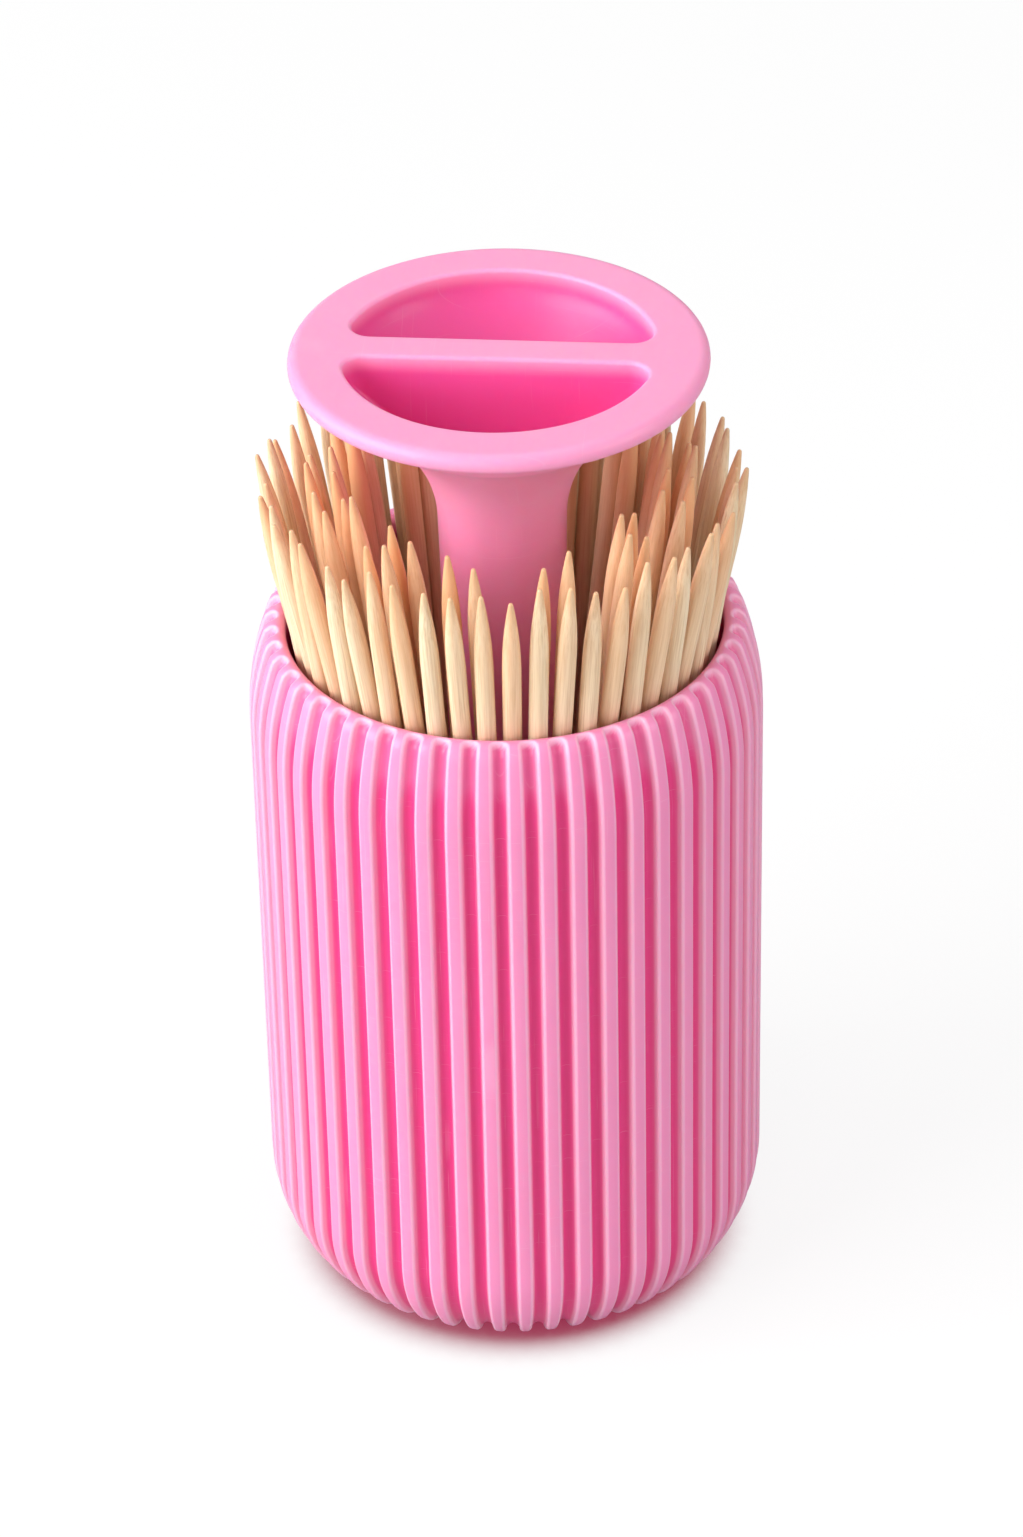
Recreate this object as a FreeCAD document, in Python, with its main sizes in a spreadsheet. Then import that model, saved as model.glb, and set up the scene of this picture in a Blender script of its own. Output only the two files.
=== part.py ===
import FreeCAD, Part
import math
import os

import Sketcher

# Lift-up toothpick dispenser: a ribbed cup, a tray on a hollow stem that is pulled up
# through the cup by the disc handle on top, and the toothpicks that stand on the tray.
# The model stands on z = 0 with its axis on Z, and the lift is drawn pulled up.

OUT_DIR = "parts"

# Driving sizes: lengths in millimetres, angles in degrees, counts as whole numbers.
DRIVING_SIZES = {
    # ribbed cup
    "body_radius": 28.0,
    "body_height": 83.0,
    "foot_stand": 0.4,
    "base_corner_width": 8.9,
    "base_corner_height": 12.2,
    "base_corner_radius": 7.2,
    "shoulder_width": 3.3,
    "shoulder_height": 11.5,
    "shoulder_radius": 1.6,
    "bore_radius": 23.7,
    "floor_thickness": 2.4,
    "floor_corner_radius": 5.2,
    "floor_corner_rise": 3.2,
    "rib_count": 52,
    "groove_radius": 0.8,
    "groove_inset": 0.2,
    "groove_end_margin": 0.65,
    "groove_start_margin": 1.2,
    # base plug, foot ring and screw
    "plug_flange_radius": 18.2,
    "plug_flange_thickness": 1.0,
    "plug_radius": 17.3,
    "plug_thickness": 1.6,
    "foot_ring_inner_radius": 12.4,
    "foot_ring_outer_radius": 15.6,
    "foot_ring_sink": 0.6,
    "press_clearance": 0.05,
    "screw_radius": 1.2,
    "screw_length": 12.0,
    "screw_head_radius": 2.4,
    "screw_head_height": 0.6,
    "screw_recess_depth": 0.25,
    "screw_slot_width": 0.6,
    # guide post
    "post_radius": 2.6,
    "post_foot_radius": 4.4,
    "post_foot_height": 1.0,
    "post_head_radius": 3.8,
    "post_head_height": 2.4,
    "stop_gap": 0.15,
    # travel of the lift and its running fits
    "lift_travel": 33.0,
    "rest_gap": 0.3,
    "slide_clearance": 0.15,
    "wiper_clearance": 0.08,
    # tray and its wiper ring
    "tray_thickness": 1.4,
    "tray_slope_angle": 12.0,
    "tray_trough_radius": 16.3,
    "tray_lip_radius": 23.1,
    "tray_lip_rise": 5.4,
    "tray_lip_height": 2.4,
    "spigot_wall": 1.3,
    "spigot_height": 6.0,
    "wiper_width": 1.2,
    "wiper_height": 1.4,
    "wiper_edge_round": 0.3,
    # handle
    "handle_height": 77.2,
    "stem_foot_radius": 5.8,
    "stem_neck_radius": 6.9,
    "stem_neck_height": 56.6,
    "stem_bore_clearance": 0.05,
    "stem_bore_top_wall": 3.5,
    "flare_radius": 16.0,
    "flare_width": 6.8,
    "cone_top_radius": 18.6,
    "disc_radius": 22.2,
    "disc_thickness": 2.3,
    "pocket_radius": 16.7,
    "pocket_depth": 10.0,
    "pocket_wall_depth": 2.4,
    "pocket_floor_radius": 8.5,
    "pocket_bowl_radius": 40.0,
    "pocket_corner_radius": 2.3,
    "grip_bar_width": 4.2,
    # toothpicks
    "pick_radius": 1.05,
    "pick_length": 65.0,
    "pick_length_spread": 1.0,
    "pick_taper_length": 10.5,
    "pick_foot_gap": 0.2,
    "pick_row_count": 26,
    "rim_foot_radius": 15.56,
    "rim_pick_clearance": 0.356,
    "slant_foot_radius": 13.04,
    "slant_pick_clearance": 0.606,
    "inner_foot_radius": 11.2,
    "inner_lean_angle": 8.48,
    "inner_spacing": 2.665,
    "middle_foot_radius": 9.38,
    "middle_lean_angle": 7.72,
    "middle_spacing": 2.276,
    "front_gap_angle": 57.0,
}

# Outline of a toothpick's tapered end: share of the taper length, share of the pick radius.
PICK_TAPER_SHARES = ((0.0, 0.30), (0.36, 0.69), (0.73, 0.905), (1.0, 1.0))

# Points along a groove's turn round a corner, as shares of the turn.
CORNER_POINT_SHARES = (0.0, 0.25, 0.5, 0.75, 1.0)

# Each next toothpick is cut to another length by turning this angle on a sine wave.
LENGTH_STEP_ANGLE = 137.508

FULL_TURN = 360.0
FRONT_ANGLE = -90.0


class Size:
    """A value of the model together with the expression that the document binds it to."""

    def __init__(self, value, text):
        self.value = value
        self.text = text

    def __add__(self, other):
        return Size(self.value + other.value, "(" + self.text + " + " + other.text + ")")

    def __sub__(self, other):
        return Size(self.value - other.value, "(" + self.text + " - " + other.text + ")")

    def __mul__(self, other):
        return Size(self.value * other.value, "(" + self.text + " * " + other.text + ")")

    def __truediv__(self, other):
        return Size(self.value / other.value, "(" + self.text + " / " + other.text + ")")

    def doubled(self):
        return Size(self.value * 2.0, "(2 * " + self.text + ")")

    def halved(self):
        return Size(self.value / 2.0, "(" + self.text + " / 2)")

    def tangent(self):
        return Size(math.tan(math.radians(self.value)), "tan(" + self.text + " * 1 deg)")

    def negative(self):
        return Size(-self.value, "(-" + self.text + ")")


ZERO = Size(0.0, "0")

doc = FreeCAD.newDocument("toothpick_dispenser")
sheet = doc.addObject("Spreadsheet::Sheet", "sizes")


def fill_sheet():
    """Write every driving size into the sheet, its name beside it as the alias."""
    for row, (name, value) in enumerate(DRIVING_SIZES.items(), start=1):
        sheet.set("A%d" % row, name)
        sheet.set("B%d" % row, str(value))
        sheet.setAlias("B%d" % row, name)
    doc.recompute()


def size(name):
    return Size(float(sheet.get(name)), "sizes." + name)


def mm(name):
    return float(sheet.get(name))


fill_sheet()

# Heights that several pieces share, worked out from the driving sizes.
plug_top = size("foot_stand") + size("plug_thickness")
tray_base = plug_top + size("rest_gap") + size("lift_travel")
tray_slope = size("tray_slope_angle").tangent()
trough_top = tray_base + size("tray_thickness")
seat_radius = size("stem_foot_radius") + size("rest_gap")
seat_height = (size("tray_trough_radius") - seat_radius) * tray_slope
stem_base = trough_top + seat_height
collar_bore = size("post_radius") + size("slide_clearance")
spigot_radius = collar_bore + size("spigot_wall")
spigot_top = stem_base + size("spigot_height")
lip_radius = size("body_radius") - size("shoulder_width") - size("bore_radius")
rim_height = size("body_height") - lip_radius


def bind(target, prop, value):
    target.setExpression(prop, value.text)


def origin_plane(body, role):
    for feature in body.Origin.OriginFeatures:
        if feature.Role == role:
            return feature
    raise ValueError("no origin plane " + role)


def new_body(name):
    body = doc.addObject("PartDesign::Body", name)
    body.Label = name
    return body


def arc_centre(start, end, radius, turn):
    """Centre of the arc from start to end; turn 1 runs anticlockwise, -1 clockwise."""
    mid = ((start[0] + end[0]) / 2, (start[1] + end[1]) / 2)
    half = math.hypot(end[0] - start[0], end[1] - start[1]) / 2
    rise = math.sqrt(max(radius * radius - half * half, 0.0))
    across = ((start[1] - end[1]) / (2 * half), (end[0] - start[0]) / (2 * half))
    return mid[0] + turn * rise * across[0], mid[1] + turn * rise * across[1]


def pin_point(sketch, geometry, position, x, y):
    """Hold a point of the sketch at x, y, on an axis where a coordinate is zero."""
    for kind, coordinate, axis in (("DistanceX", x, -2), ("DistanceY", y, -1)):
        if coordinate.value == 0.0:
            sketch.addConstraint(Sketcher.Constraint("PointOnObject", geometry, position, axis))
        else:
            index = sketch.addConstraint(
                Sketcher.Constraint(kind, -1, 1, geometry, position, coordinate.value))
            sketch.setExpression("Constraints[%d]" % index, coordinate.text)


def outline_sketch(body, name, role, start, steps):
    """Closed outline of lines and arcs, each corner and radius bound to the sizes.

    A step is (x, y) for a line or (x, y, radius, turn) for an arc to that point.
    """
    sketch = body.newObject("Sketcher::SketchObject", name)
    sketch.AttachmentSupport = [(origin_plane(body, role), "")]
    sketch.MapMode = "FlatFace"
    here = start
    last_geometry = None
    for step in steps:
        a = FreeCAD.Vector(here[0].value, here[1].value, 0)
        b = FreeCAD.Vector(step[0].value, step[1].value, 0)
        if len(step) == 2:
            geometry = sketch.addGeometry(Part.LineSegment(a, b), False)
            first, last = 1, 2
        else:
            radius, turn = step[2], step[3]
            cx, cy = arc_centre((a.x, a.y), (b.x, b.y), radius.value, turn)
            from_angle = math.atan2(a.y - cy, a.x - cx)
            to_angle = math.atan2(b.y - cy, b.x - cx)
            if turn < 0:
                from_angle, to_angle = to_angle, from_angle
            circle = Part.Circle(FreeCAD.Vector(cx, cy, 0), FreeCAD.Vector(0, 0, 1), radius.value)
            geometry = sketch.addGeometry(Part.ArcOfCircle(circle, from_angle, to_angle), False)
            first, last = (1, 2) if turn > 0 else (2, 1)
            index = sketch.addConstraint(Sketcher.Constraint("Radius", geometry, radius.value))
            sketch.setExpression("Constraints[%d]" % index, radius.text)
        pin_point(sketch, geometry, first, here[0], here[1])
        if last_geometry is None:
            first_end = (geometry, first)
        else:
            sketch.addConstraint(Sketcher.Constraint(
                "Coincident", last_geometry[0], last_geometry[1], geometry, first))
        last_geometry = (geometry, last)
        here = (step[0], step[1])
    sketch.addConstraint(Sketcher.Constraint(
        "Coincident", last_geometry[0], last_geometry[1], first_end[0], first_end[1]))
    return sketch


def turned(body, name, start, steps):
    """Turn an outline in the XZ plane round the Z axis."""
    sketch = outline_sketch(body, name + "_outline", "XZ_Plane", start, steps)
    feature = body.newObject("PartDesign::Revolution", name)
    feature.Profile = sketch
    feature.ReferenceAxis = (sketch, ["V_Axis"])
    feature.Angle = FULL_TURN
    doc.recompute()
    return feature


def corner_arcs(centre, width, height, radius, z_sign):
    """The two tangent arcs of an outer corner that reaches further in z than in x.

    centre is the corner's own centre, width and height its reach in x and z, and radius the
    tight arc's, at its flat end. Returns the arcs' junction and the wide arc's radius.
    """
    rest = height - radius
    wide = (width * width + rest * rest - radius * radius) / (width - radius).doubled()
    shift = radius / (wide - radius)
    reach_z = rest + rest * shift
    x = centre[0] + (wide - width) * shift
    z = centre[1] + reach_z if z_sign > 0 else centre[1] - reach_z
    return (x, z), wide


def shell_blank(body):
    """The cup without its grooves: rounded base, straight wall, shoulder, lip and bore."""
    base_x = size("body_radius") - size("base_corner_width")
    base_z = size("foot_stand")
    wall_low = base_z + size("base_corner_height")
    wall_high = size("body_height") - size("shoulder_height")
    crest_x = size("body_radius") - size("shoulder_width")
    base_joint, base_wide = corner_arcs(
        (base_x, wall_low), size("base_corner_width"), size("base_corner_height"),
        size("base_corner_radius"), -1)
    top_joint, top_wide = corner_arcs(
        (crest_x, wall_high), size("shoulder_width"), size("shoulder_height"),
        size("shoulder_radius"), 1)
    floor_z = base_z + size("floor_thickness")
    flange_z = base_z + size("plug_flange_thickness") + size("press_clearance")
    flange_x = size("plug_flange_radius") + size("press_clearance")
    mouth_x = size("plug_radius") + size("press_clearance")
    steps = (
        (base_x, base_z),
        (base_joint[0], base_joint[1], size("base_corner_radius"), 1),
        (size("body_radius"), wall_low, base_wide, 1),
        (size("body_radius"), wall_high),
        (top_joint[0], top_joint[1], top_wide, 1),
        (crest_x, size("body_height"), size("shoulder_radius"), 1),
        (size("bore_radius"), rim_height, lip_radius, 1),
        (size("bore_radius"), floor_z + size("floor_corner_rise")),
        (base_x, floor_z, size("floor_corner_radius"), -1),
        (mouth_x, floor_z),
        (mouth_x, flange_z),
        (flange_x, flange_z),
        (flange_x, base_z),
    )
    return turned(body, "cup_wall", (flange_x, base_z), steps)


def groove_path():
    """Path of one groove's cutter in the XZ plane, from under the base up over the shoulder."""
    inset = mm("groove_inset")
    radius = mm("body_radius") - inset
    base_x = mm("body_radius") - mm("base_corner_width")
    base_z = mm("foot_stand") + inset
    wall_low = mm("foot_stand") + mm("base_corner_height")
    wall_high = mm("body_height") - mm("shoulder_height")
    crest_x = mm("body_radius") - mm("shoulder_width")
    crest_z = mm("body_height") - inset
    start_share = mm("groove_start_margin") / mm("base_corner_width")
    end_share = mm("groove_end_margin") / mm("shoulder_width")

    def corner(centre_x, centre_z, reach_x, reach_z, from_angle, to_angle):
        points = []
        for share in CORNER_POINT_SHARES:
            angle = from_angle + (to_angle - from_angle) * share
            points.append(FreeCAD.Vector(centre_x + reach_x * math.cos(angle), 0,
                                         centre_z + reach_z * math.sin(angle)))
        curve = Part.BSplineCurve()
        curve.interpolate(points)
        return curve.toShape()

    start_angle = -math.pi / 2 + math.asin(start_share)
    end_angle = math.pi / 2 - math.asin(end_share)
    low = corner(base_x, wall_low, radius - base_x, wall_low - base_z, start_angle, 0.0)
    high = corner(crest_x, wall_high, radius - crest_x, crest_z - wall_high, 0.0, end_angle)
    wall = Part.makeLine(FreeCAD.Vector(radius, 0, wall_low), FreeCAD.Vector(radius, 0, wall_high))
    return Part.Wire([low, wall, high])


def groove_cutter():
    """A round bar along the groove's path, with a ball at each end."""
    path = groove_path()
    radius = mm("groove_radius")
    first, last = path.OrderedVertexes[0].Point, path.OrderedVertexes[-1].Point
    start_edge = path.OrderedEdges[0]
    direction = start_edge.tangentAt(start_edge.FirstParameter)
    ring = Part.Wire(Part.Circle(first, direction, radius).toShape())
    bar = path.makePipeShell([ring], True, False)
    balls = [Part.makeSphere(radius, point) for point in (first, last)]
    return bar.fuse(balls)


def grooves():
    """All the cutters, one in the middle of each gap between two ribs."""
    cutter = groove_cutter()
    count = int(mm("rib_count"))
    copies = []
    for index in range(count):
        copy = cutter.copy()
        copy.rotate(FreeCAD.Vector(0, 0, 0), FreeCAD.Vector(0, 0, 1),
                    FULL_TURN * (index + 0.5) / count)
        copies.append(copy)
    feature = doc.addObject("Part::Feature", "groove_cutters")
    feature.Shape = Part.makeCompound(copies)
    return feature


def cup_shell():
    blank = new_body("shell_blank")
    shell_blank(blank)
    shell = doc.addObject("Part::Cut", "cup_shell")
    shell.Base = blank
    shell.Tool = grooves()
    return shell


def base_plug():
    """Closure of the cup's underside, with a channel for the foot ring and a screw hole."""
    body = new_body("base_plug")
    base_z = size("foot_stand")
    flange_z = base_z + size("plug_flange_thickness")
    channel_z = base_z + size("foot_ring_sink") + size("press_clearance")
    inner = size("foot_ring_inner_radius") - size("press_clearance")
    outer = size("foot_ring_outer_radius") + size("press_clearance")
    recess_x = size("screw_head_radius") + size("press_clearance")
    recess_z = base_z + size("screw_recess_depth") + size("screw_head_height")
    hole = size("screw_radius") + size("press_clearance")
    steps = (
        (outer, base_z),
        (outer, channel_z),
        (inner, channel_z),
        (inner, base_z),
        (recess_x, base_z),
        (recess_x, recess_z),
        (hole, recess_z),
        (hole, plug_top),
        (size("plug_radius"), plug_top),
        (size("plug_radius"), flange_z),
        (size("plug_flange_radius"), flange_z),
        (size("plug_flange_radius"), base_z),
    )
    turned(body, "plug_disc", (size("plug_flange_radius"), base_z), steps)
    return body


def foot_ring():
    """Soft ring that the dispenser stands on, set in the plug's channel."""
    ring = doc.addObject("Part::Cut", "foot_ring")
    outer = doc.addObject("Part::Cylinder", "foot_ring_outside")
    inner = doc.addObject("Part::Cylinder", "foot_ring_inside")
    height = size("foot_stand") + size("foot_ring_sink")
    bind(outer, "Radius", size("foot_ring_outer_radius"))
    bind(outer, "Height", height)
    bind(inner, "Radius", size("foot_ring_inner_radius"))
    bind(inner, "Height", height)
    ring.Base = outer
    ring.Tool = inner
    return ring


def guide_post():
    """Fixed column inside the stem: foot on the plug, pilot hole below, stop head on top."""
    body = new_body("guide_post")
    head_low = spigot_top + size("stop_gap")
    head_high = head_low + size("post_head_height")
    foot_high = plug_top + size("post_foot_height")
    pilot = size("screw_radius") + size("press_clearance")
    pilot_top = screw_tip() + size("rest_gap")
    steps = (
        (size("post_foot_radius"), plug_top),
        (size("post_foot_radius"), foot_high),
        (size("post_radius"), foot_high),
        (size("post_radius"), head_low),
        (size("post_head_radius"), head_low),
        (size("post_head_radius"), head_high),
        (ZERO, head_high),
        (ZERO, pilot_top),
        (pilot, pilot_top),
        (pilot, plug_top),
    )
    turned(body, "post_column", (pilot, plug_top), steps)
    return body


def screw_tip():
    return size("foot_stand") + size("screw_recess_depth") + size("screw_length")


def base_screw():
    """Screw that holds the post to the plug from below, with a slotted flat head."""
    body = new_body("screw_blank")
    head_low = size("foot_stand") + size("screw_recess_depth")
    head_high = head_low + size("screw_head_height")
    steps = (
        (size("screw_head_radius"), head_low),
        (size("screw_head_radius"), head_high),
        (size("screw_radius"), head_high),
        (size("screw_radius"), screw_tip() - size("screw_radius")),
        (ZERO, screw_tip()),
        (ZERO, head_low),
    )
    turned(body, "screw_turning", (ZERO, head_low), steps)
    slot = doc.addObject("Part::Box", "screw_slot")
    bind(slot, "Length", size("screw_head_radius").doubled())
    bind(slot, "Width", size("screw_slot_width"))
    bind(slot, "Height", size("screw_head_height").halved())
    bind(slot, "Placement.Base.x", size("screw_head_radius").negative())
    bind(slot, "Placement.Base.y", size("screw_slot_width").halved().negative())
    bind(slot, "Placement.Base.z", head_low)
    screw = doc.addObject("Part::Cut", "base_screw")
    screw.Base = body
    screw.Tool = slot
    return screw


def lift_tray():
    """Dished tray: a cone that sheds the picks' feet outwards, a rising lip with the wiper's
    groove, and a spigot in the middle that slides on the post and carries the stem."""
    body = new_body("lift_tray")
    trough = size("tray_trough_radius")
    lip_foot = size("tray_lip_radius") - size("tray_thickness")
    lip_low = tray_base + size("tray_lip_rise")
    lip_high = lip_low + size("tray_lip_height")
    groove_low = lip_low + (size("tray_lip_height") - size("wiper_height")).halved()
    groove_high = groove_low + size("wiper_height")
    groove_x = size("tray_lip_radius") - size("wiper_width").halved()
    hub_low = stem_base - size("tray_thickness")
    clear = size("press_clearance")
    steps = (
        (trough, tray_base),
        (size("tray_lip_radius"), lip_low),
        (size("tray_lip_radius"), groove_low - clear),
        (groove_x, groove_low - clear),
        (groove_x, groove_high + clear),
        (size("tray_lip_radius"), groove_high + clear),
        (size("tray_lip_radius"), lip_high),
        (lip_foot, lip_high),
        (lip_foot, lip_low + size("tray_thickness")),
        (trough, trough_top),
        (seat_radius, stem_base),
        (spigot_radius, stem_base),
        (spigot_radius, spigot_top),
        (collar_bore, spigot_top),
        (collar_bore, hub_low),
        (seat_radius, hub_low),
    )
    turned(body, "tray_dish", (seat_radius, hub_low), steps)
    return body


def tray_wiper():
    """Soft ring in the tray's edge that drags on the bore and holds the lift where it is."""
    body = new_body("tray_wiper")
    inner = size("tray_lip_radius") - size("wiper_width").halved() + size("press_clearance")
    outer = size("bore_radius") - size("wiper_clearance")
    low = tray_base + size("tray_lip_rise") + (size("tray_lip_height") - size("wiper_height")).halved()
    high = low + size("wiper_height")
    edge = size("wiper_edge_round")
    steps = (
        (outer - edge, low),
        (outer, low + edge, edge, 1),
        (outer, high - edge),
        (outer - edge, high, edge, 1),
        (inner, high),
        (inner, low),
    )
    turned(body, "wiper_ring", (inner, low), steps)
    return body


def handle_blank(body):
    """Stem, flare, cone and disc, with the stem's bore closed below the pockets."""
    bore = spigot_radius + size("stem_bore_clearance")
    top = stem_base + size("handle_height")
    neck_z = stem_base + size("stem_neck_height")
    flare_x = size("stem_neck_radius") + size("flare_width")
    flare_z = neck_z + flare_rise()
    under = top - size("disc_thickness")
    edge = size("disc_thickness").halved()
    bore_top = top - size("pocket_depth") - size("stem_bore_top_wall")
    steps = (
        (size("stem_foot_radius"), stem_base),
        (size("stem_neck_radius"), neck_z),
        (flare_x, flare_z, size("flare_radius"), -1),
        (size("cone_top_radius"), under),
        (size("disc_radius") - edge, under),
        (size("disc_radius"), under + edge, edge, 1),
        (size("disc_radius") - edge, top, edge, 1),
        (ZERO, top),
        (ZERO, bore_top),
        (bore, bore_top - bore),
        (bore, stem_base),
    )
    turned(body, "handle_turning", (bore, stem_base), steps)


def flare_rise():
    """Height of the flare: it leaves the neck upright, on an arc of the flare's radius."""
    radius = size("flare_radius")
    across = radius - size("flare_width")
    rise = math.sqrt(radius.value ** 2 - across.value ** 2)
    text = "sqrt(" + radius.text + "^2 - " + across.text + "^2)"
    return Size(rise, text)


def pocket_bowl():
    """The hollow of the two finger pockets, as one round bowl."""
    body = new_body("pocket_bowl")
    top = stem_base + size("handle_height")
    floor = top - size("pocket_depth")
    wall_low = top - size("pocket_wall_depth")
    over = top + size("disc_thickness")
    radius = size("pocket_radius") + size("press_clearance")
    steps = (
        (size("pocket_floor_radius"), floor),
        (radius, wall_low, size("pocket_bowl_radius"), 1),
        (radius, over),
        (ZERO, over),
        (ZERO, floor),
    )
    turned(body, "bowl_turning", (ZERO, floor), steps)
    return body


def pocket_prism(name, side):
    """One D-shaped pocket as a prism: straight along the grip bar, round along the disc."""
    half_bar = mm("grip_bar_width") / 2
    radius = mm("pocket_radius")
    corner = mm("pocket_corner_radius")
    centre_y = half_bar + corner
    centre_x = math.sqrt((radius - corner) ** 2 - centre_y ** 2)
    reach = radius / (radius - corner)
    tip = FreeCAD.Vector(centre_x * reach, centre_y * reach, 0)
    turn = math.atan2(centre_y, centre_x) / 2 - math.pi / 4
    mid = FreeCAD.Vector(centre_x + corner * math.cos(turn), centre_y + corner * math.sin(turn), 0)
    flat = FreeCAD.Vector(centre_x, half_bar, 0)

    def mirrored(point):
        return FreeCAD.Vector(-point.x, point.y, 0)

    edges = [
        Part.makeLine(mirrored(flat), flat),
        Part.Arc(flat, mid, tip).toShape(),
        Part.Arc(tip, FreeCAD.Vector(0, radius, 0), mirrored(tip)).toShape(),
        Part.Arc(mirrored(tip), mirrored(mid), mirrored(flat)).toShape(),
    ]
    depth = mm("pocket_depth") + mm("disc_thickness")
    prism = Part.Face(Part.Wire(edges)).extrude(FreeCAD.Vector(0, 0, depth))
    if side < 0:
        prism.rotate(FreeCAD.Vector(0, 0, 0), FreeCAD.Vector(0, 0, 1), FULL_TURN / 2)
    prism.translate(FreeCAD.Vector(0, 0, stem_base.value + mm("handle_height") - mm("pocket_depth")))
    feature = doc.addObject("Part::Feature", name)
    feature.Shape = prism
    return feature


def lift_handle():
    body = new_body("handle_blank")
    handle_blank(body)
    prisms = doc.addObject("Part::MultiFuse", "pocket_prisms")
    prisms.Shapes = [pocket_prism("rear_pocket", 1), pocket_prism("front_pocket", -1)]
    pockets = doc.addObject("Part::Common", "finger_pockets")
    pockets.Base = prisms
    pockets.Tool = pocket_bowl()
    handle = doc.addObject("Part::Cut", "lift_handle")
    handle.Base = body
    handle.Tool = pockets
    return handle


def pick_shape(serial):
    """One toothpick, pointed at both ends, standing on the origin along Z."""
    wave = math.sin(math.radians(serial * LENGTH_STEP_ANGLE))
    length = mm("pick_length") + mm("pick_length_spread") * wave
    radius = mm("pick_radius")
    taper = mm("pick_taper_length")
    low = [(radius * r_share, taper * z_share) for z_share, r_share in PICK_TAPER_SHARES]
    high = [(r, length - z) for r, z in reversed(low)]
    points = [FreeCAD.Vector(0, 0, 0)]
    points += [FreeCAD.Vector(r, 0, z) for r, z in low + high]
    points += [FreeCAD.Vector(0, 0, length), FreeCAD.Vector(0, 0, 0)]
    face = Part.Face(Part.makePolygon(points))
    return face.revolve(FreeCAD.Vector(0, 0, 0), FreeCAD.Vector(0, 0, 1), FULL_TURN)


def tray_surface(radius):
    """Height of the tray's cone at a distance from the axis."""
    return trough_top.value + (mm("tray_trough_radius") - radius) * tray_slope.value


def resting_lean(foot_radius, clearance):
    """Lean, in degrees, of a pick that stands at foot_radius and leans on the cup's mouth."""
    across = mm("bore_radius") - foot_radius
    rise = rim_height.value - tray_surface(foot_radius) - mm("pick_foot_gap")
    reach = math.hypot(across, rise)
    return math.degrees(math.atan2(across, rise) - math.asin((mm("pick_radius") + clearance) / reach))


def standing_pick(serial, foot_radius, angle, offset, lean):
    """A toothpick on the tray at an angle round the axis, moved sideways by offset and
    leaning outwards in that angle's plane."""
    shape = pick_shape(serial)
    shape.rotate(FreeCAD.Vector(0, 0, 0), FreeCAD.Vector(0, 1, 0), lean)
    along = math.sqrt(foot_radius ** 2 - offset ** 2)
    foot = tray_surface(foot_radius) + mm("pick_foot_gap")
    shape.translate(FreeCAD.Vector(along, offset, foot))
    shape.rotate(FreeCAD.Vector(0, 0, 0), FreeCAD.Vector(0, 0, 1), angle)
    return shape


def pick_group(name, shapes):
    feature = doc.addObject("Part::Feature", name)
    feature.Shape = Part.makeCompound(shapes) if len(shapes) > 1 else shapes[0]
    return feature


def rim_picks():
    """Outer row: single picks that lean on the cup's mouth."""
    count = int(mm("pick_row_count"))
    radius = mm("rim_foot_radius")
    lean = resting_lean(radius, mm("rim_pick_clearance"))
    for index in range(count):
        angle = FRONT_ANGLE + FULL_TURN * index / count
        yield pick_group("rim_pick_%02d" % (index + 1),
                         [standing_pick(index, radius, angle, 0.0, lean)])


def slant_picks():
    """Second row: pairs that pass between the outer picks to the mouth, leaning further."""
    count = int(mm("pick_row_count"))
    radius = mm("slant_foot_radius")
    lean = resting_lean(radius, mm("slant_pick_clearance"))
    for pair in range(count // 2):
        shapes = []
        for member in (0, 1):
            serial = 2 * pair + member
            angle = FRONT_ANGLE + FULL_TURN * (serial + 0.5) / count
            shapes.append(standing_pick(count + serial, radius, angle, 0.0, lean))
        yield pick_group("slant_picks_%02d" % (pair + 1), shapes)


def inner_picks():
    """Bundles inside the two outer rows. The ones nearest the front have only their outer
    picks left, because the picks before the stem have been taken."""
    rows = int(mm("pick_row_count"))
    for bundle in range(rows // 2):
        turn = FULL_TURN * (2 * bundle + 1.5) / rows
        angle = FRONT_ANGLE + turn
        serial = 2 * rows + 4 * bundle
        half = mm("inner_spacing") / 2
        shapes = [standing_pick(serial + k, mm("inner_foot_radius"), angle, offset,
                                mm("inner_lean_angle"))
                  for k, offset in enumerate((-half, half))]
        from_front = min(turn, FULL_TURN - turn)
        if from_front > mm("front_gap_angle") / 2:
            step = mm("middle_spacing")
            shapes += [standing_pick(serial + 2 + k, mm("middle_foot_radius"), angle, offset,
                                     mm("middle_lean_angle"))
                       for k, offset in enumerate((0.0, step))]
        yield pick_group("inner_picks_%02d" % (bundle + 1), shapes)


def build():
    """Every piece of the dispenser, by the name of its file."""
    pieces = {
        "cup_shell": cup_shell(),
        "base_plug": base_plug(),
        "foot_ring": foot_ring(),
        "guide_post": guide_post(),
        "base_screw": base_screw(),
        "lift_tray": lift_tray(),
        "tray_wiper": tray_wiper(),
        "lift_handle": lift_handle(),
    }
    for feature in [*rim_picks(), *slant_picks(), *inner_picks()]:
        pieces[feature.Name] = feature
    doc.recompute()
    return pieces


def check(pieces):
    """Stop before anything is written if an object failed or a shape is no closed solid."""
    for thing in doc.Objects:
        if "Invalid" in thing.State or "Error" in thing.State:
            raise ValueError(thing.Name + " failed to compute")
    for name, piece in pieces.items():
        shape = piece.Shape
        if shape.isNull() or not shape.isValid() or not shape.Solids:
            raise ValueError(name + " has no valid solid")
        if any(solid.Volume <= 0 for solid in shape.Solids):
            raise ValueError(name + " holds an empty solid")


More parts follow.
